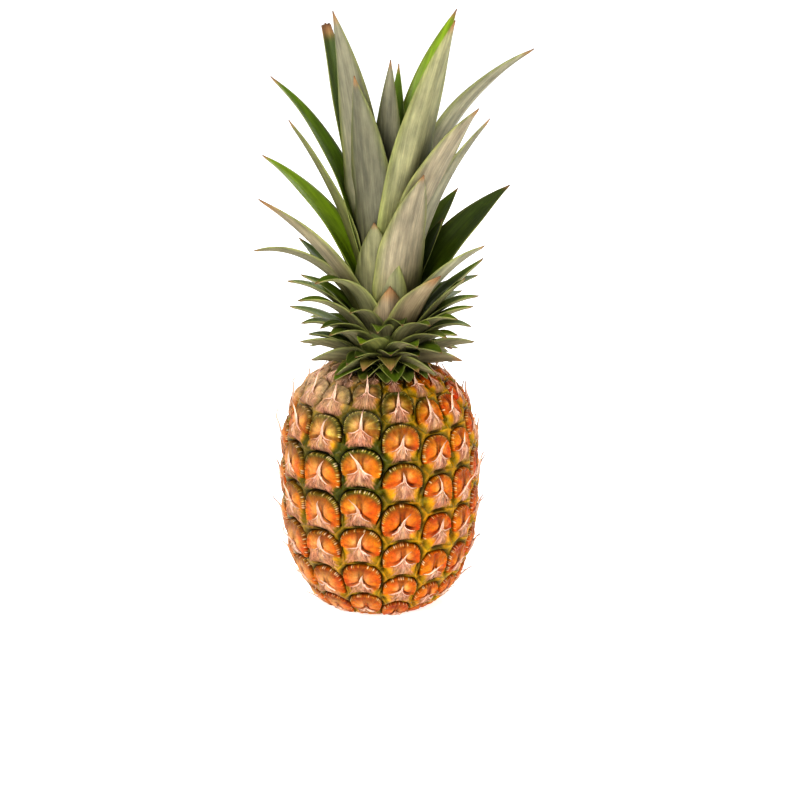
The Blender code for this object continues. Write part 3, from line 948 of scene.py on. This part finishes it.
def ridge_forms(rind, eye, x, y, across, half, tall, paleness):
    """A thin ridge of dry bract along a line over an eye; half and tall change along it."""
    q = np.clip(np.hypot(x, y) / 0.5, 0, 1)
    floor = (BORDER_RISE + APRON_RISE * (1 - q**APRON_POWER)) * eye.share
    ring = []
    for place, over, sunk, _ in RIDGE_SECTION:
        column = eye.column + x + across[0] * place * half
        row = eye.row + y + across[1] * place * half
        ring.append(rind.points(column, row, out=floor + tall * over - sunk * MM))
    sections = np.stack(ring, axis=1)
    sections[..., 2] = np.maximum(sections[..., 2], BASE_CLEARANCE)
    points, faces = lofted(sections)
    along = np.repeat(np.linspace(0, 1, len(x)), len(ring))
    edge = np.tile([pale for *_, pale in RIDGE_SECTION], len(x))
    tint = layered(PINK_TAN, (CREAM, edge * paleness), (TIP_BROWN, 0.7 * eye.lot.random() * along))
    grain = np.stack([along * 8, np.zeros(len(points)), np.full(len(points), eye.lot.random())], axis=-1)
    return points, faces, tint, grain, 1.0


def arm_forms(rind, eye, hand):
    """A bract's free edge on one side of the spine: it runs out and down over the eye."""
    lot = eye.lot
    share = np.linspace(0, 1, ARM_POINTS)
    x = hand * (0.01 + lot.uniform(0.20, 0.38) * share)
    y = arm_line(eye, x) + 0.008 * np.sin(share * 7 + lot.uniform(0, 6))
    half = lot.uniform(0.014, 0.030) * (1 - 0.85 * share)
    ragged = 1 + 0.4 * np.sin(share * 19 + lot.uniform(0, 6)) * share
    tall = MM * eye.share * lot.uniform(0.4, 1.2) * (1 - share) ** 0.7 * ragged
    return ridge_forms(rind, eye, x, y, (0, 1), half, tall, lot.uniform(0.3, 1.0))


def strand_forms(rind, eye):
    """One dry fibre of the bract that runs down from the spine's foot."""
    lot = eye.lot
    share = np.linspace(0, 1, STRAND_POINTS)
    lean = lot.uniform(-0.75, 0.75)
    length = lot.uniform(0.18, 0.44) * (1 - 0.3 * abs(lean))
    x = 0.06 * lean + math.sin(lean) * length * share + 0.02 * np.sin(share * 5 + lot.uniform(0, 6))
    y = arm_line(eye, 0.0) - 0.02 - 0.12 * abs(lean) - math.cos(lean) * length * share
    half = lot.uniform(0.010, 0.024) * (1 - share) ** 0.6
    tall = MM * eye.share * lot.uniform(0.2, 0.7) * np.sin(0.4 + 2.4 * share)
    return ridge_forms(rind, eye, x, y, (1, 0), half, tall, lot.uniform(0.0, 0.8))


def make_fruit(skin, papery):
    """The rind in closed bands, and the bracts and spines that stand on it."""
    rind = Rind()
    bands = [Gathered() for _ in BANDS]
    bracts = Gathered()
    for eye in rind_eyes(rind):
        number = min(int(eye.row / rind.rows * len(BANDS)), len(BANDS) - 1)
        bands[number].add(*eye_forms(rind, eye))
        if eye.whole:
            bracts.add(*spine_forms(rind, eye))
            bracts.add(*arm_forms(rind, eye, -1))
            bracts.add(*arm_forms(rind, eye, 1))
            for _ in range(STRANDS):
                bracts.add(*strand_forms(rind, eye))
    for name, band in zip(BANDS, bands):
        made = band.piece(name, "rind", skin, join_eyes)
        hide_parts("fruit")
    bracts.piece("bracts", "rind", papery, face_outward)


def make_cut_stem(wood):
    """The cut end of the stem, flat in the fruit's base."""
    rings = []
    for radius, height in STEM_PROFILE:
        ring = []
        for turn in range(0, 360, 4):
            uneven = 1 - 0.012 * (1 + math.sin(math.radians(turn * 7))) * (radius > UNEVEN_FROM)
            ring.append(towards(-turn) * radius * uneven * MM + Vector((0, 0, height * MM)))
        rings.append(ring)
    points, faces = lofted(np.array(rings))
    gathered = Gathered()
    gathered.add(points, faces, np.broadcast_to(BASE_TAN, (len(points), 3)), points / MM, 1.0)
    made = gathered.piece("cut_end", "cut_stem", wood, face_outward)
    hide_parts("cut_stem")


class Leaf(NamedTuple):
    """One leaf: direction, root height, length and width in millimetres, leans, and its looks."""

    turn: float
    root: float
    length: float
    width: float
    foot: float
    tip: float
    late: float = 1.0
    roll: float = 0.0
    torn: float = 1.0
    skin: str = "plain"


TALL_LEAVES = (
    Leaf(-125, 196, 168, 19, 77, 74, 1.5, -15, torn=0.86, skin="dark"),
    Leaf(-70, 192, 158, 28, 85, 74, 2.5, 45, skin="grey"),
    # this leaf has the grey skin made darker: painted shade
    Leaf(-38, 188, 128, 34, 86, 77, skin="shaded_grey"),
    Leaf(-10, 204, 117, 20, 86, 108, skin="grey"),
    Leaf(165, 204, 113, 16, 78, 84, skin="green"),
    Leaf(-165, 203, 100, 16, 72, 104, skin="green"),
    Leaf(144, 196, 162, 26, 88, 48, 1.0, 15, skin="bright"),
    Leaf(34, 190, 168, 30, 88, 59, 0.7, skin="sage"),
    Leaf(95, 190, 162, 25, 90, 28, 1.2, -40, skin="grey"),
    Leaf(50, 186, 128, 28, 84, 45, 1.0, -15, skin="pink"),
    Leaf(72, 180, 122, 22, 83, 50, 1.0, -10, skin="grey"),
    Leaf(118, 176, 97, 28, 56, 32, 1.0, 12, skin="dark"),
    Leaf(32, 176, 90, 33, 84, 62, skin="pink"),
    Leaf(-105, 182, 143, 23, 84, 40, 1.4, -10, skin="green"),
    Leaf(-98, 182, 114, 19, 79, 54, 1.0, 25, skin="dark"),
    Leaf(-110, 180, 108, 22, 73, 30, 1.0, -10, skin="bright"),
    Leaf(-72, 174, 97, 22, 63, 35, 1.0, 15, skin="brown"),
    Leaf(-22, 166, 66, 34, 84, 86, skin="sage"),
    Leaf(180, 186, 118, 24, 70, 38),
    Leaf(163, 184, 116, 22, 70, 40, skin="green"),
    Leaf(-160, 184, 112, 22, 70, 42),
    Leaf(140, 180, 80, 22, 62, 34),
    Leaf(-140, 178, 76, 22, 60, 32, skin="dark"),
)

SHORT_LEAVES = (
    Leaf(6, 152, 44, 26, 76, 88, skin="dry"),
    Leaf(-88, 168, 84, 21, 65, -11, 1.5, 20),
    Leaf(-125, 172, 65, 18, 40, 35, skin="dark"),
    Leaf(-52, 162, 62, 23, 86, -18, 1.5, skin="sage"),
    Leaf(-100, 164, 50, 18, 54, 19, 1.5),
    Leaf(-80, 160, 60, 19, 62, 5, 1.5),
    Leaf(-62, 156, 58, 20, 65, -5, 1.5),
    Leaf(-95, 154, 50, 17, 46, 8, 1.2),
    Leaf(-70, 151, 47, 18, 57, -10, 1.5),
    Leaf(-85, 149, 36, 16, 44, 0, 1.2),
    Leaf(75, 168, 68, 23, 67, 30, 1.0, -15, skin="grey"),
    Leaf(95, 164, 60, 20, 49, 41),
    Leaf(82, 160, 49, 19, 58, 41),
    Leaf(42, 162, 54, 27, 70, 37, skin="dry"),
    Leaf(125, 182, 52, 18, 60, 56, skin="dark"),
    Leaf(88, 158, 50, 19, 59, 6, 1.2),
    Leaf(70, 154, 50, 18, 59, 11, 1.2),
    Leaf(78, 151, 44, 18, 58, -20, 1.5),
    Leaf(60, 149, 40, 17, 56, -5, 1.3),
    Leaf(-42, 152, 42, 19, 60, -15, 1.4, skin="shade"),
    Leaf(-18, 150, 40, 20, 56, -10, 1.4, skin="bright"),
    Leaf(22, 150, 38, 19, 52, -10, 1.4),
    Leaf(44, 151, 42, 18, 56, -12, 1.4, skin="shade"),
)

FRONT_LEAVES = (
    Leaf(-30, 158, 42, 17, 74, -14, 1.8),
    Leaf(-8, 158, 32, 15, 70, -40, 1.8),
    Leaf(14, 159, 34, 15, 72, -30, 1.8, skin="dark"),
    Leaf(34, 155, 40, 17, 64, -10, 1.6),
    Leaf(-50, 154, 44, 17, 60, -20, 1.6, skin="dark"),
    Leaf(56, 156, 44, 17, 60, -10, 1.5),
    Leaf(4, 148, 26, 15, 52, -12, 1.5),
    Leaf(-28, 147, 28, 15, 46, -10, 1.4, skin="dark"),
    Leaf(30, 147, 28, 15, 46, -8, 1.4),
)

LOW_LEAVES = (
    Leaf(-86, 147, 40, 19, 30, 2, 1.2, 30),
    Leaf(-64, 146, 37, 20, 22, -4, 1.2, 40, skin="shade"),
    Leaf(-43, 145.5, 31, 20, 14, -12, 1.1, 38, skin="shade"),
    Leaf(-21, 145, 27, 18, 12, -22, 1.1, 20, skin="brown"),
    Leaf(0, 145, 25, 18, 12, -26, 1.1, 0, skin="shade"),
    Leaf(20, 145, 27, 18, 12, -22, 1.1, -20, skin="shade"),
    Leaf(42, 145.5, 32, 20, 14, -12, 1.1, -38, skin="shade"),
    Leaf(62, 146, 38, 20, 22, -4, 1.2, -40, skin="brown"),
    Leaf(84, 147, 41, 19, 30, 2, 1.2, -30, skin="shade"),
)


class Spiral(NamedTuple):
    """Leaves a golden angle apart; each of their sizes has a first, a last and a scatter."""

    count: int
    power: float
    turn_scatter: float
    sizes: tuple  # root height, length, width, lean at the foot, lean at the tip
    skins: tuple = ("plain",)


COLLAR = Spiral(64, 0.5, 6, ((180, 146, 0), (70, 28, 4), (22, 17, 1.5), (62, 2, 4), (38, -30, 8)))
FOOT = Spiral(
    34,
    1,
    8,
    ((151, 144.6, 0.3), (26, 15, 3), (15, 9, 1.5), (38, -4, 6), (-30, -42, 8)),
    ("shade", "dark", "brown", "shade", "dry"),
)
SPIRAL_LATE = 1.3
FRONT_REACH = 115
BACK_ONLY_ABOVE = 156
LEAST_TURN_APART = 13
LEAST_ROOT_APART = 4


class Skin(NamedTuple):
    """Colours of a leaf: its outer face, the foot of that, its inner face, and its dry tip."""

    outer: np.ndarray
    foot: np.ndarray
    inner: np.ndarray
    dry_tip: float = 0.04


SKINS = {
    "grey": Skin(colour(133, 129, 106), colour(108, 110, 54), colour(73, 89, 17)),
    # shaded_grey: the grey skin made darker, painted shade for a leaf that stands in shadow
    "shaded_grey": Skin(colour(114, 111, 89), colour(104, 104, 60), colour(60, 71, 19)),
    "sage": Skin(colour(140, 137, 102), colour(116, 120, 37), colour(77, 98, 10)),
    "pink": Skin(colour(141, 131, 108), colour(124, 118, 75), colour(81, 91, 25)),
    "green": Skin(colour(112, 116, 66), colour(112, 120, 36), colour(88, 110, 12)),
    "bright": Skin(colour(126, 128, 75), colour(124, 133, 39), colour(120, 143, 21)),
    "dark": Skin(colour(109, 109, 68), colour(103, 109, 45), colour(66, 81, 15)),
    "plain": Skin(colour(135, 129, 98), colour(122, 122, 58), colour(90, 107, 24)),
    "brown": Skin(colour(134, 124, 98), colour(124, 118, 66), colour(88, 96, 30), 0.12),
    "shade": Skin(colour(137, 131, 101), colour(124, 120, 71), colour(90, 101, 39)),
    "dry": Skin(colour(150, 134, 108), colour(132, 118, 78), colour(112, 102, 52), 0.16),
}


def core_radius(height):
    share = (height - CROWN_FOOT) / (CROWN_TOP - CROWN_FOOT)
    neck = min(1, NECK + (1 - NECK) * (height - CROWN_FOOT) / NECK_HEIGHT)
    return neck * CROWN_RADIUS * math.sqrt(max(0.0, 1 - share**2.2)) + 1 * MM


def core_centre(height):
    shift = (height - CROWN_FOOT) * math.tan(math.radians(CROWN_TILT))
    return Vector((CROWN_OFFSET + shift, 0, height))


def leaf_width(share):
    """Share of the full width along a leaf: a clasping foot, a long even stretch and a point."""
    foot = 0.8 + 0.2 * eased(0, WIDEST_BY, share)
    fall = np.clip((share - WIDEST_BY) / (1 - WIDEST_BY), 0, 1)
    return np.where(share < WIDEST_BY, foot, 1 - fall**2.2)


def shoulder_height(radius):
    """Height of the rind's upper half at a distance from the axis."""
    share = min(radius / FRUIT_RADIUS, 1) ** UPPER_POWER
    return WIDEST_HEIGHT + (FRUIT_HEIGHT - WIDEST_HEIGHT) * (1 - share) ** (1 / UPPER_POWER)


def leaf_frames(leaf, steps, clearances):
    """Share, centre, side and inward direction at each step along a leaf."""
    root = leaf.root * MM
    away = towards(leaf.turn)
    centre = core_centre(root) + away * max(core_radius(root) - ROOT_DEPTH, 1 * MM)
    side = Vector((-away.y, away.x, 0))
    length = leaf.length * MM * leaf.torn

    def lean_at(step):
        return math.radians(leaf.foot + (leaf.tip - leaf.foot) * (step / steps * leaf.torn) ** leaf.late)

    frames = []
    for step in range(steps + 1):
        share = step / steps * leaf.torn
        lean = lean_at(step)
        inward = Vector((0, 0, math.cos(lean))) - away * math.sin(lean)
        roll = math.radians(leaf.roll * min(1, share / ROLLED_BY))
        rolled_side = side * math.cos(roll) + inward * math.sin(roll)
        frames.append((share, centre.copy(), rolled_side, inward * math.cos(roll) - side * math.sin(roll)))
        lean = lean_at(step + 0.5)
        centre += (away * math.cos(lean) + Vector((0, 0, math.sin(lean)))) * length / steps
        radius = centre.xy.length
        clearance = float(np.interp(radius, CLEARANCE_RADII, clearances))
        centre.z = max(centre.z, shoulder_height(radius) + clearance)
    return [np.array(values) for values in zip(*frames)]


def leaf_forms(leaf, lot, clearances):
    """A channelled blade with real thickness, a wavy margin, and a pointed or torn tip."""
    steps = max(12, round(leaf.length * MM / LEAF_STEP))
    share, centre, side, inward = leaf_frames(leaf, steps, clearances)
    x = np.linspace(-1, 1, 2 * HALF_SECTION + 1)
    width = leaf_width(share) * (1 + 0.015 * np.sin(share * 19 + lot.uniform(0, 6)))
    half = np.maximum(leaf.width * MM / 2 * width, 0.25 * MM)
    phase = lot.uniform(0, 6)
    wave = 0.35 * MM * np.sin(share * leaf.length / 9 + phase) * np.sin(share * math.pi)
    rise = half[:, None] * LEAF_CHANNEL * np.abs(x) ** 1.35 + wave[:, None] * x * x
    thin = 1 - 0.35 * share
    bulk = (LEAF_EDGE + (LEAF_MIDDLE - LEAF_EDGE) * (1 - x * x)) * thin[:, None]
    bulk = np.minimum(bulk, half[:, None] * 1.2)
    middle = centre[:, None] + side[:, None] * (half[:, None] * x)[..., None]
    inner_face = middle + inward[:, None] * rise[..., None]
    outer_face = middle + inward[:, None] * (rise - bulk)[..., None]
    if leaf.torn < 1:
        ragged = np.array([lot.uniform(0, 2.2) for _ in x]) * MM
        along = (centre[-1] - centre[-2]) / np.linalg.norm(centre[-1] - centre[-2])
        inner_face[-1] += along * ragged[:, None]
        outer_face[-1] += along * ragged[:, None]
    points, faces = lofted(np.concatenate([inner_face, outer_face[:, ::-1]], axis=1))
    faces = [face[::-1] for face in faces]

    around = len(x)
    u = np.repeat(share, 2 * around)
    across = np.tile(np.concatenate([x, x[::-1]]), len(share))
    inner = np.tile(np.concatenate([np.ones(around), np.zeros(around)]), len(share))
    tint, dry = leaf_tint(leaf, u, across, inner, lot)
    over = across * np.repeat(half, 2 * around) / MM
    grain = np.stack([over, u * leaf.length, np.full(len(u), lot.random())], axis=-1)
    return points, faces, tint, grain, dry


DRY_LEAF = colour(146, 112, 74)
LEAF_BROWN = colour(92, 58, 34)
MARGIN = colour(150, 152, 88)
EDGE_GREEN = colour(92, 98, 46)
HEART_GREEN = colour(112, 128, 36)
CORE_GREEN = colour(120, 128, 70)


def leaf_tint(leaf, u, across, inner, lot):
    """Colour and dryness of a leaf's vertices."""
    skin = SKINS[leaf.skin]
    shade = lot.uniform(0.88, 1.12)
    edge = np.abs(across)
    outer = layered(
        skin.foot,
        (skin.outer, eased(0.02, 0.4, u)),
        (0.72, bell(across, 0.16) * 0.5),
        (EDGE_GREEN, eased(0.62, 0.96, edge) * 0.6),
    )
    face = layered(
        skin.inner,
        (HEART_GREEN, bell(across, 0.35) * eased(0.75, 0.1, u) * 0.45),
        (skin.inner * 0.7, eased(0.6, 0.95, edge) * 0.6),
    )
    way = u / leaf.torn
    dead = eased(1 - 1.6 * skin.dry_tip, 1 - 0.3 * skin.dry_tip, way)
    tint = layered(
        mixed(outer, face, inner) * shade,
        (MARGIN, eased(0.93, 1.0, edge) * 0.5),
        (DRY_LEAF, dead),
        (LEAF_BROWN, eased(1 - 0.5 * skin.dry_tip, 1.0, way) * 0.7),
    )
    return tint, np.clip(0.25 + 0.5 * (1 - inner) + dead, 0, 1)


def spiral_leaves(spiral, draw):
    """Leaves one after another round the crown, each size going from its first to its last."""
    leaves = []
    for number in range(spiral.count):
        share = (number / (spiral.count - 1)) ** spiral.power
        turn = number * GOLDEN_ANGLE + draw.uniform(-spiral.turn_scatter, spiral.turn_scatter)
        sizes = [
            first + (last - first) * share + draw.uniform(-scatter, scatter)
            for first, last, scatter in spiral.sizes
        ]
        skin = spiral.skins[number % len(spiral.skins)]
        leaves.append(Leaf(turn % 360 - 180, *sizes, SPIRAL_LATE, skin=skin))
    return leaves


def collar_leaves():
    """A spiral's leaves, without those that stand where a listed leaf does."""
    kept = []
    for leaf in spiral_leaves(COLLAR, random.Random(SEED)):
        taken = any(
            abs((leaf.turn - other.turn + 180) % 360 - 180) < LEAST_TURN_APART
            and abs(leaf.root - other.root) < LEAST_ROOT_APART
            for other in TALL_LEAVES + SHORT_LEAVES
        )
        in_front = abs(leaf.turn) < FRONT_REACH
        if not taken and not (in_front and leaf.root > BACK_ONLY_ABOVE):
            kept.append(leaf)
    return kept


def leaf_piece(name, blade, lot, *groups):
    """One piece of leaves, of groups that keep their own clearances over the rind."""
    gathered = Gathered()
    for leaves, clearances in groups:
        for leaf in leaves:
            gathered.add(*leaf_forms(leaf, lot, clearances))
    return gathered.piece(name, "leaf", blade)


def make_crown(blade):
    """The crown's leaves in four pieces, and the short stem that they grow from."""
    lot = random.Random(SEED + 1)
    for name, leaves in (
        ("tall_leaves", TALL_LEAVES),
        ("short_leaves", SHORT_LEAVES),
        ("collar_leaves", collar_leaves()),
    ):
        made = leaf_piece(name, blade, lot, (leaves, LEAF_CLEARANCE))
        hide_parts("crown")
    low_leaves = LOW_LEAVES + tuple(spiral_leaves(FOOT, random.Random(SEED + 2)))
    groups = (FRONT_LEAVES, FRONT_CLEARANCE), (low_leaves, FOOT_CLEARANCE)
    leaf_piece("foot_leaves", blade, lot, *groups)
    core = Gathered()
    rings = []
    for ring in range(CORE_RINGS):
        rise = math.sin(ring / (CORE_RINGS - 1) * math.pi / 2)
        height = CROWN_FOOT + (CROWN_TOP - CROWN_FOOT) * rise
        centre, radius = core_centre(height), core_radius(height)
        rings.append([centre + towards(turn) * -radius for turn in range(0, 360, 9)])
    points, faces = lofted(np.array(rings))
    core.add(points, faces, np.broadcast_to(CORE_GREEN, (len(points), 3)), points / MM, 0.6)
    core.piece("crown_stem", "leaf", blade)


class Nodes:
    """Short calls to build a material's node tree."""

    def __init__(self, name):
        self.material = bpy.data.materials.new(name)
        self.material.use_nodes = True
        self.tree = self.material.node_tree
        self.shader = self.tree.nodes["Principled BSDF"]

    def node(self, kind, inputs, output, **settings):
        """The named output of a new node, with its inputs linked or set."""
        made = self.tree.nodes.new(kind)
        for key, value in settings.items():
            setattr(made, key, value)
        for key, value in inputs.items():
            if isinstance(value, bpy.types.NodeSocket):
                self.tree.links.new(value, made.inputs[key])
            else:
                made.inputs[key].default_value = value
        return made.outputs[output]

    def place(self):
        return self.node("ShaderNodeTexCoord", {}, "Object")

    def attribute(self, name, output):
        return self.node("ShaderNodeAttribute", {}, output, attribute_name=name)

    def scaled(self, vector, scale):
        return self.node("ShaderNodeVectorMath", {0: vector, 1: scale}, "Vector", operation="MULTIPLY")

    def noise(self, vector, scale, detail=4.0, roughness=0.55):
        inputs = {"Vector": vector, "Scale": scale, "Detail": detail, "Roughness": roughness}
        return self.node("ShaderNodeTexNoise", inputs, "Fac")

    def remap(self, value, to_low, to_high, low=0.3, high=0.7):
        ends = {"From Min": low, "From Max": high, "To Min": to_low, "To Max": to_high}
        return self.node("ShaderNodeMapRange", {"Value": value, **ends}, "Result")

    def varied(self, tint, value, darkest, lightest, low=0.3, high=0.7):
        """A colour made darker and lighter by a value."""
        factor = self.remap(value, darkest, lightest, low, high)
        return self.node("ShaderNodeVectorMath", {0: tint, "Scale": factor}, "Vector", operation="SCALE")

    def bump(self, height, strength, distance, normal=None):
        inputs = {"Height": height, "Strength": strength, "Distance": distance}
        if normal is not None:
            inputs["Normal"] = normal
        return self.node("ShaderNodeBump", inputs, "Normal")

    def finish(self, tint, roughness, normal, **constants):
        self.tree.links.new(tint, self.shader.inputs["Base Color"])
        self.tree.links.new(roughness, self.shader.inputs["Roughness"])
        self.tree.links.new(normal, self.shader.inputs["Normal"])
        for key, value in constants.items():
            self.shader.inputs[key.replace("_", " ")].default_value = value
        return self.material


def rind_material():
    """Waxy flesh of the eyes: mottled colour, fine pores, drier where the bract is."""
    n = Nodes("rind_skin")
    place = n.place()
    mottle = n.noise(place, 420.0, 5.0, 0.6)
    fine = n.noise(place, 1700.0, 4.0, 0.6)
    tint = n.attribute("tint", "Color")
    tint = n.varied(tint, mottle, 0.80, 1.18)
    tint = n.varied(tint, fine, 0.90, 1.10)
    tint = n.varied(tint, n.noise(place, 230.0, 3.0, 0.6), 0.80, 1.18, 0.32, 0.68)
    drift = n.remap(n.noise(place, 160.0, 3.0, 0.5), 0.493, 0.520)
    tint = n.node("ShaderNodeHueSaturation", {"Color": tint, "Hue": drift}, "Color")
    dry = n.attribute("dry", "Fac")
    grain = n.attribute("grain", "Vector")
    fibres = n.remap(n.noise(n.scaled(grain, (1.6, 0.2, 13.0)), 1.0, 5.0, 0.65), -0.5, 0.5)
    strands = n.node("ShaderNodeMath", {0: fibres, 1: dry}, "Value", operation="MULTIPLY")
    tint = n.varied(tint, strands, 0.62, 1.38, -0.5, 0.5)
    tint = n.varied(tint, strands, 0.35, 1.0, -0.34, -0.22)
    roughness = n.remap(dry, 0.30, 0.75, 0.0, 1.0)
    normal = n.bump(mottle, 0.35, 0.6 * MM)
    normal = n.bump(strands, 0.7, 0.9 * MM, normal)
    normal = n.bump(fine, 0.35, 0.2 * MM, normal)
    wax = {"Subsurface_Weight": 0.04, "Subsurface_Scale": 2 * MM, "Specular_IOR_Level": 0.2}
    return n.finish(tint, roughness, normal, **wax)


def papery_material():
    """Dry bracts: fibres along the point, cream edges, brown tips."""
    n = Nodes("dry_bract")
    grain = n.attribute("grain", "Vector")
    fibres = n.noise(n.scaled(grain, (1.5, 0.14, 9.0)), 1.0, 4.0, 0.6)
    mottle = n.noise(n.place(), 500.0, 4.0, 0.6)
    tint = n.attribute("tint", "Color")
    tint = n.varied(tint, fibres, 0.60, 1.22)
    tint = n.varied(tint, mottle, 0.84, 1.12)
    roughness = n.remap(mottle, 0.6, 0.8)
    return n.finish(tint, roughness, n.bump(fibres, 0.5, 0.3 * MM))


def stem_material():
    """Cut stem: pale fibres on end, seen as darker dots, and long fibres up its wall."""
    n = Nodes("stem_fibre")
    long = n.scaled(n.place(), (1, 1, 0.06))
    dots = n.node("ShaderNodeTexVoronoi", {"Vector": long, "Scale": 900.0}, "Distance")
    mottle = n.noise(long, 300.0)
    tint = n.varied(n.attribute("tint", "Color"), dots, 0.45, 1.05, 0.05, 0.35)
    tint = n.varied(tint, mottle, 0.75, 1.15)
    roughness = n.remap(mottle, 0.7, 0.9)
    return n.finish(tint, roughness, n.bump(dots, 0.6, 0.4 * MM))


def leaf_material():
    """Leaf blades: long veins, a silvery bloom in streaks, and a waxy inner face."""
    n = Nodes("leaf_skin")
    grain = n.attribute("grain", "Vector")
    veins = n.noise(n.scaled(grain, (1.9, 0.02, 31.0)), 1.0, 3.0, 0.6)
    streaks = n.noise(n.scaled(grain, (0.55, 0.035, 17.0)), 1.0, 4.0, 0.6)
    blotches = n.noise(n.scaled(grain, (0.25, 0.08, 11.0)), 1.0, 4.0, 0.6)
    tint = n.attribute("tint", "Color")
    tint = n.varied(tint, veins, 0.86, 1.12)
    tint = n.varied(tint, streaks, 0.72, 1.22)
    tint = n.varied(tint, blotches, 0.78, 1.18)
    roughness = n.remap(n.attribute("dry", "Fac"), 0.34, 0.72, 0.0, 1.0)
    normal = n.bump(streaks, 0.3, 0.6 * MM, n.bump(veins, 0.4, 0.4 * MM))
    return n.finish(tint, roughness, normal, Subsurface_Weight=0.03, Subsurface_Scale=1 * MM)


# Camera and studio, in degrees and metres
CAMERA_ELEVATION = 17
CAMERA_LENS = 85
CAMERA_SENSOR = 36
VIEW_WIDTH = 800 / 1.7 * MM  # the photo's pixels, and pixels to a millimetre at the axis
CAMERA_TARGET = Vector((0.0118, 0, 0.122))
WORLD_STRENGTH = 0.36
LIGHTS_AIM = Vector((0, 0, 0.15))
LIGHTS = (  # name, place, size, power
    ("key", (-0.55, -1.1, 1.15), 0.55, 15),
    ("fill", (0.9, -0.9, 0.5), 0.7, 5),
    ("back", (0.3, 1.2, 1.0), 0.9, 7),
)
FLOOR_PROFILE = ((14, 0), (14.7, 0.2), (15, 0.7), (15, 4))  # radius and height
FLOOR_GREY = (0.86, 0.86, 0.86, 1)
FLOOR_GLOW = 0.46
WHITE = (1, 1, 1, 1)


def make_camera():
    data = bpy.data.cameras.new("view")
    data.lens = CAMERA_LENS
    data.sensor_width = CAMERA_SENSOR
    data.clip_start = 0.01
    camera = linked("view", data)
    elevation = math.radians(CAMERA_ELEVATION)
    back = Vector((0, -math.cos(elevation), math.sin(elevation)))
    camera.location = CAMERA_TARGET + back * CAMERA_LENS / CAMERA_SENSOR * VIEW_WIDTH
    camera.rotation_euler = back.to_track_quat("Z", "Y").to_euler()
    bpy.context.scene.camera = camera


def area_light(name, place, size, power):
    data = bpy.data.lights.new(name, "AREA")
    data.size = size
    data.energy = power
    light = linked(name, data)
    light.location = place
    light.rotation_euler = (Vector(place) - LIGHTS_AIM).to_track_quat("Z", "Y").to_euler()


def make_floor():
    """The floor, which turns up into a low wall far from the fruit."""
    rings = []
    for radius, height in FLOOR_PROFILE:
        rings.append([towards(turn) * radius + Vector((0, 0, height)) for turn in range(0, 360, 4)])
    points, faces = lofted(np.array(rings), open_end=True)
    mesh = bpy.data.meshes.new("floor")
    mesh.from_pydata(points.tolist(), [], faces)
    floor = linked("floor", mesh)
    pale = bpy.data.materials.new("pale_floor")
    pale.use_nodes = True
    shader = pale.node_tree.nodes["Principled BSDF"]
    shader.inputs["Base Color"].default_value = FLOOR_GREY
    shader.inputs["Emission Color"].default_value = WHITE
    shader.inputs["Emission Strength"].default_value = FLOOR_GLOW
    shader.inputs["Roughness"].default_value = 0.9
    floor.data.materials.append(pale)


def make_studio():
    """Pale surroundings, a floor and soft lights from above and both sides."""
    world = bpy.data.worlds.new("studio")
    world.use_nodes = True
    background = world.node_tree.nodes["Background"].inputs
    background["Color"].default_value = WHITE
    background["Strength"].default_value = WORLD_STRENGTH
    scene = bpy.context.scene
    scene.world = world
    scene.view_settings.view_transform = "Standard"
    scene.view_settings.look = "High Contrast"
    make_floor()
    for light in LIGHTS:
        area_light(*light)


def main():
    make_camera()
    make_studio()
    make_fruit(rind_material(), papery_material())
    make_cut_stem(stem_material())
    make_crown(leaf_material())


main()
